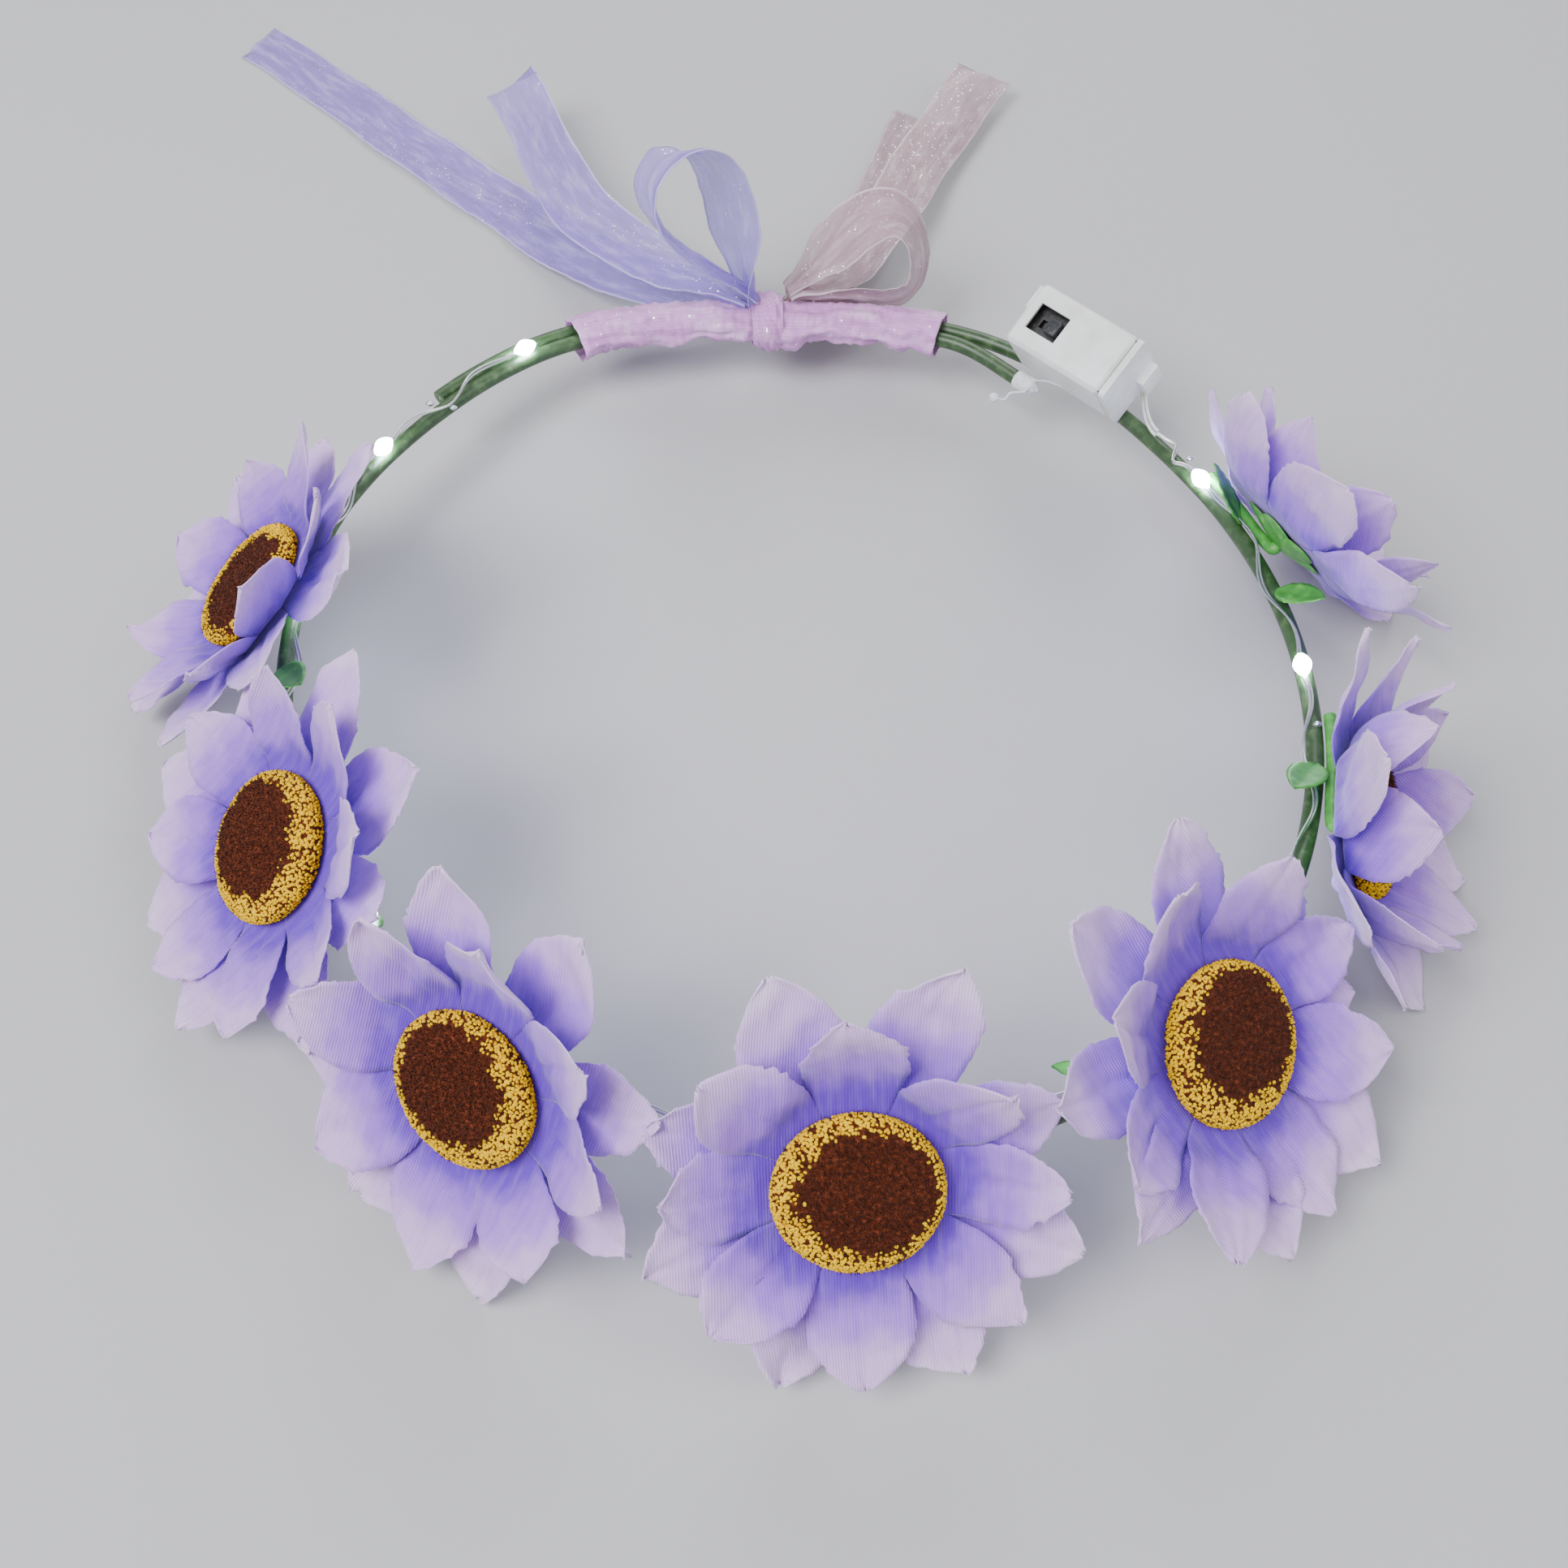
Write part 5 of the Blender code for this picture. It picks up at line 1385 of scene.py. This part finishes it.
class CROWN_OT_tape(bpy.types.Operator):
    """Wrap the wire's free end in its frayed tape"""
    bl_idname = "crown.tape"
    bl_label = "End tape"

    def execute(self, context):
        tape = frayed_tape()
        points, rows, columns = [], 26, 24
        for i in range(rows):
            share = i / (rows - 1)
            azimuth = between(HOOP_END + TAPE_BEFORE, HOOP_END - TAPE_PAST, share)
            on_wire = max(azimuth, HOOP_END)
            along = (tube_middle(on_wire + 0.3) - tube_middle(on_wire + 0.8)).normalized()
            middle = tube_middle(on_wire) + along * (on_wire - azimuth) * TAPE_STEP
            out = along.cross(HOOP_UP).normalized()
            for c, s in around(columns):
                size = TUBE_RADIUS + TAPE_BUILD + 0.00022 * wobble((share * 3, c, s), 2.5)
                size *= 1.0 if share < 0.7 else between(1.0, 0.06, ease((share - 0.7) / 0.3))
                points.append(middle + (out * c + HOOP_UP * s) * size)
        wrap = thickened(mesh_object("wrap", points, grid_faces(rows, columns, close_columns=True)), 0.00015)
        end = tube_middle(HOOP_END)
        inward = (Vector((0, 0, end.z)) - end).normalized()
        onward = (end - tube_middle(HOOP_END + 1)).normalized()
        wisp_route, loose_route = (
            [end + inward * a + onward * b + HOOP_UP * c for a, b, c in steps]
            for steps in (((0, 0, 0.0012), (0.0026, -0.0006, 0.0006), (0.0042, -0.0030, 0),
                           (0.0060, -0.0034, -0.0006), (0.0074, -0.0052, 0)),
                          ((0, 0, 0.0018), (0, 0.0030, 0.0034), (-0.0010, 0.0062, 0.0030))))
        wisp = tube("wisp", smooth_path(wisp_route, 8), 0.00050, tape, sides=8)
        loose = tube("thread", smooth_path(loose_route, 8), 0.00030, tape, sides=6)
        bm = bmesh.new()
        bmesh.ops.create_icosphere(bm, subdivisions=3, radius=0.00095,
                                   matrix=Matrix.Translation(wisp_route[-1]))
        for vert in bm.verts:
            vert.co += vert.normal * 0.0002 * wobble(vert.co, 900.0)
        pieces = [wrap, wisp, loose, shaped_object("blob", bm)]
        finish_piece(merged("end_tape", pieces), tape).data.shade_smooth()
        return {"FINISHED"}


# ---------------------------------------------------------------- ribbon

def knot_middle():
    """Point of the table under the knot."""
    knot = hoop_point(KNOT_AZIMUTH)
    return Vector((knot.x, knot.y, 0.0))


def ribbon_object(name, rows, ribbon):
    """Thin ribbon from rows of points, with UVs of share across and metres along."""
    points, uvs, run = [], [], 0.0
    columns = len(rows[0])
    for i, row in enumerate(rows):
        if i:
            run += (row[columns // 2] - rows[i - 1][columns // 2]).length
        points += row
        uvs += [(j / (columns - 1), run) for j in range(columns)]
    sheet = mesh_object(name, points, grid_faces(len(rows), columns), uvs)
    return thickened(sheet, ribbon.cloth), run


def tail_rows(ribbon, route, roll_from, roll_to, slant, seed):
    """Rows of points across a ribbon tail, gathered at the knot and creased beyond it."""
    columns = 25
    path = smooth_path([knot_middle() + Vector(p) for p in route], 26)
    lengths = [0.0]
    for a, b in zip(path, path[1:]):
        lengths.append(lengths[-1] + (b - a).length)
    whole = lengths[-1]
    rows = []
    for i, (point, ahead) in enumerate(zip(path, headings(path))):
        flat = ahead.cross(Vector((0, 0, 1))).normalized()
        up = flat.cross(ahead)
        share = lengths[i] / whole
        roll = math.radians(between(roll_from, roll_to, ease(share)))
        side = flat * math.cos(roll) + up * math.sin(roll)
        lift = up * math.cos(roll) - flat * math.sin(roll)
        open_share = ease(lengths[i] / OPEN_RUN)
        width = between(ribbon.gather, ribbon.width, open_share)
        row = []
        for j in range(columns):
            t = j / (columns - 1) - 0.5
            pleat = 0.0011 * (1 - open_share) * math.cos(t * 2 * math.pi * 3.5 + seed)
            soft = 0.0009 * math.cos(t * 2 * math.pi + lengths[i] * 55 + seed) * (0.3 + 0.7 * (1 - share))
            crinkle = 0.00042 * wobble((lengths[i], t * ribbon.width, seed), 330.0)
            drift = 0.0012 * wobble((lengths[i], seed, 0), 45.0) * open_share
            cut = ahead * (slant * t * width if i == len(path) - 1 else 0.0)
            spot = point + side * (t * width + drift) + lift * (pleat + soft + crinkle) + cut
            spot.z = max(spot.z, TABLE_TOUCH * (0.6 + 0.4 * abs(wobble(spot, 400.0))))
            row.append(spot)
        rows.append(row)
    return rows, whole


def loop_rows(ribbon, start, main_axis, side_axis, size, breadth, twist, flare, seed):
    """Rows of points across a standing loop, folded lengthwise where the knot gathers it."""
    main = Vector(main_axis).normalized()
    side = Vector(side_axis)
    side = (side - main * side.dot(main)).normalized()
    wide = main.cross(side)
    steps, columns = 96, 21
    rows, run, last = [], 0.0, None
    for i in range(steps + 1):
        turn = 2 * math.pi * i / steps
        along = size * (1 - math.cos(turn)) / 2
        beside = breadth * LOOP_BELLY * math.sin(turn) * math.sin(turn / 2) ** 2
        middle = knot_middle() + Vector(start) + main * along + side * beside
        if last is not None:
            run += (middle - last).length
        last = middle
        speed_along = size * math.sin(turn) / 2
        speed_beside = breadth * LOOP_BELLY * (math.cos(turn) * math.sin(turn / 2) ** 2
                                               + math.sin(turn) * math.sin(turn / 2) * math.cos(turn / 2))
        ahead = main * speed_along + side * speed_beside
        ahead = ahead.normalized() if ahead.length > 1e-9 else main
        out = ahead.cross(wide).normalized()
        open_share = ease(along / size * 2.2)
        width = between(ribbon.gather, ribbon.width, open_share)
        turned = math.radians(twist * max(0.0, math.sin(turn)) + flare * open_share)
        across = wide * math.cos(turned) + out * math.sin(turned)
        out = out * math.cos(turned) - wide * math.sin(turned)
        row = []
        for j in range(columns):
            t = j / (columns - 1) - 0.5
            pleat = 0.0013 * (1 - open_share * 0.62) * math.cos(t * 2 * math.pi * 2.5 + seed + turn * 0.5)
            crinkle = 0.0004 * wobble((run, t * ribbon.width, seed), 300.0)
            curl = 0.0012 * (t * 2) ** 2 * math.sin(turn + seed)
            row.append(middle + across * t * width + out * (pleat + crinkle + curl))
        rows.append(row)
    return rows, run


def wrap_rows(first, last, half, seed, rows, wave, across, pinch=0.0):
    """Rings of a ribbon bunched round the lapped wires, in order along the hoop."""
    columns = 48
    rings = []
    for i in range(rows):
        share = i / (rows - 1)
        azimuth = between(first, last, share)
        ring = []
        bulge = 1.0 + pinch * math.sin(math.pi * share)
        run = math.radians(azimuth) * 0.095
        hang = wave * (wobble((run, 0.0, seed), 110.0) + 0.5 * wobble((run, 0.0, seed), 260.0))
        for j, (c, s) in enumerate(around(columns)):
            turn = 2 * math.pi * j / columns
            droop = hang * max(0.0, -c * 0.6 - s * 0.8)
            fold = turn * 3.5 + 2.2 * wobble((run, 0.0, seed), 70.0)
            fold += 1.6 * wobble((run, c * 0.01, s * 0.01), 170.0)
            crease = 0.0008 * (0.45 - abs(math.sin(fold + run * across)))
            fine = 0.00040 * wobble((run * 2.2, c * 0.004, s * 0.004), 420.0, seed)
            size = bulge * (1 + 0.10 * wobble((run, 0, seed + 2), 90.0))
            ring.append(hoop_point(azimuth, (half[0] * size + droop + crease + fine) * c,
                                   (half[1] * size + droop + crease + fine) * s))
        rings.append(ring)
    return rings


def wrap_object(name, rings, ribbon):
    """Thin closed sleeve from rings of points, with UVs."""
    columns = len(rings[0])
    rows = [ring + [ring[0]] for ring in rings]
    points, uvs, run = [], [], 0.0
    for i, row in enumerate(rows):
        if i:
            run += (row[0] - rows[i - 1][0]).length
        points += row
        uvs += [(0.08 + 0.84 * j / columns, run) for j in range(columns + 1)]
    made = mesh_object(name, points, grid_faces(len(rows), columns + 1), uvs)
    outward_faces(made)
    return thickened(made, ribbon.cloth)


class CROWN_OT_ribbons(bpy.types.Operator):
    """Tie the organza bow over the lap"""
    bl_idname = "crown.ribbons"
    bl_label = "Ribbons"

    def execute(self, context):
        ribbon = context.scene.crown_ribbon
        left = organza("organza_left", ribbon.left, 0.40)
        right = organza("organza_right", ribbon.right, 0.42)
        pink = organza("organza_middle", ribbon.middle, 0.72)
        for number, (name, (route, roll_from, roll_to, slant)) in enumerate(TAILS.items()):
            rows, run = tail_rows(ribbon, route, roll_from, roll_to, slant, 3.0 + 2.1 * number)
            piece, _ = ribbon_object("ribbon_" + name, rows, ribbon)
            finish_piece(piece, left if "left" in name else right, stands_for=[name])
        for number, (name, shape) in enumerate(LOOPS.items()):
            rows, run = loop_rows(ribbon, *shape, 1.0 + 2.7 * number)
            piece, _ = ribbon_object("ribbon_" + name, rows, ribbon)
            finish_piece(piece, left if "left" in name else right, stands_for=[name])
        rings = wrap_rows(SLEEVE_FROM, SLEEVE_TO, SLEEVE_HALF, seed=2.0, rows=190, wave=0.0024, across=40.0)
        sleeve = wrap_object("ribbon_wrap", rings, ribbon)
        finish_piece(sleeve, pink, stands_for=["ribbon_sleeve"])
        rings = wrap_rows(KNOT_AZIMUTH - KNOT_HALF_ARC, KNOT_AZIMUTH + KNOT_HALF_ARC, KNOT_HALF, seed=5.0,
                          rows=44, wave=0.0012, across=1500.0, pinch=0.20)
        knot = wrap_object("ribbon_knot", rings, ribbon)
        finish_piece(knot, pink, stands_for=["bow_knot"])
        return {"FINISHED"}


# ---------------------------------------------------------------- stage

class CROWN_OT_stage(bpy.types.Operator):
    """Set up the floor, the lights and the camera"""
    bl_idname = "crown.stage"
    bl_label = "Stage"

    def execute(self, context):
        stage = context.scene.crown_stage
        corners = [(x * FLOOR_HALF, y * FLOOR_HALF, 0) for x, y in ((-1, -1), (1, -1), (1, 1), (-1, 1))]
        floor = mesh_object("studio_floor", corners, [(0, 1, 2, 3)])
        floor.data.materials.append(studio_paper(stage.floor))
        world = bpy.data.worlds.new("studio")
        world.use_nodes = True
        background = world.node_tree.nodes["Background"]
        background.inputs["Color"].default_value = SKY
        background.inputs["Strength"].default_value = SKY_STRENGTH
        context.scene.world = world
        for name, spot, size, power in LIGHTS:
            lamp = bpy.data.lights.new(name, "AREA")
            lamp.size = size
            lamp.energy = power
            holder = bpy.data.objects.new(name, lamp)
            holder.location = spot
            holder.rotation_euler = (Vector(LIGHTS_AIM) - Vector(spot)).to_track_quat("-Z", "Y").to_euler()
            context.scene.collection.objects.link(holder)
        lens = bpy.data.cameras.new("camera")
        lens.lens = stage.lens
        lens.sensor_width = 36.0
        lens.clip_start = 0.005
        camera = bpy.data.objects.new("camera", lens)
        camera.location = CAMERA_PLACE
        camera.rotation_euler = (math.radians(90.0 - stage.dip), 0, 0)
        context.scene.collection.objects.link(camera)
        context.scene.camera = camera
        return {"FINISHED"}


# ---------------------------------------------------------------- add-on

class CROWN_PT_panel(bpy.types.Panel):
    """Operators and settings of the flower crown"""
    bl_idname = "CROWN_PT_panel"
    bl_label = "Flower crown"
    bl_space_type = "VIEW_3D"
    bl_region_type = "UI"
    bl_category = "Crown"

    def draw(self, context):
        for step in STEPS:
            self.layout.operator(step.bl_idname)
        for name in SETTINGS:
            group = getattr(context.scene, name)
            box = self.layout.box()
            for key in group.bl_rna.properties.keys():
                if key not in ("rna_type", "name"):
                    box.prop(group, key)


STEPS = (CROWN_OT_stage, CROWN_OT_hoop, CROWN_OT_petals, CROWN_OT_discs, CROWN_OT_greens, CROWN_OT_lamps,
         CROWN_OT_battery_box, CROWN_OT_tape, CROWN_OT_ribbons)
SETTINGS = {"crown_flowers": FlowerSettings, "crown_string": StringSettings, "crown_ribbon": RibbonSettings,
            "crown_stage": StageSettings}
TREES = {}


def register():
    """Add the settings, the operators and the panel."""
    for kind in (*SETTINGS.values(), *STEPS, CROWN_PT_panel):
        bpy.utils.register_class(kind)
    for name, kind in SETTINGS.items():
        setattr(bpy.types.Scene, name, bpy.props.PointerProperty(type=kind))


def unregister():
    """Take them away again."""
    for name in SETTINGS:
        delattr(bpy.types.Scene, name)
    for kind in (CROWN_PT_panel, *reversed(STEPS), *SETTINGS.values()):
        bpy.utils.unregister_class(kind)


def main():
    """Build every piece in order."""
    register()
    TREES["sweep"] = sweep_tree()
    TREES["copies"] = copies_tree()
    bpy.ops.crown.stage()
    bpy.ops.crown.hoop()
    bpy.ops.crown.petals()
    bpy.ops.crown.discs()
    bpy.ops.crown.greens()
    bpy.ops.crown.lamps()
    bpy.ops.crown.battery_box()
    bpy.ops.crown.tape()
    bpy.ops.crown.ribbons()
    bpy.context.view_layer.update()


if __name__ == "__main__":
    main()
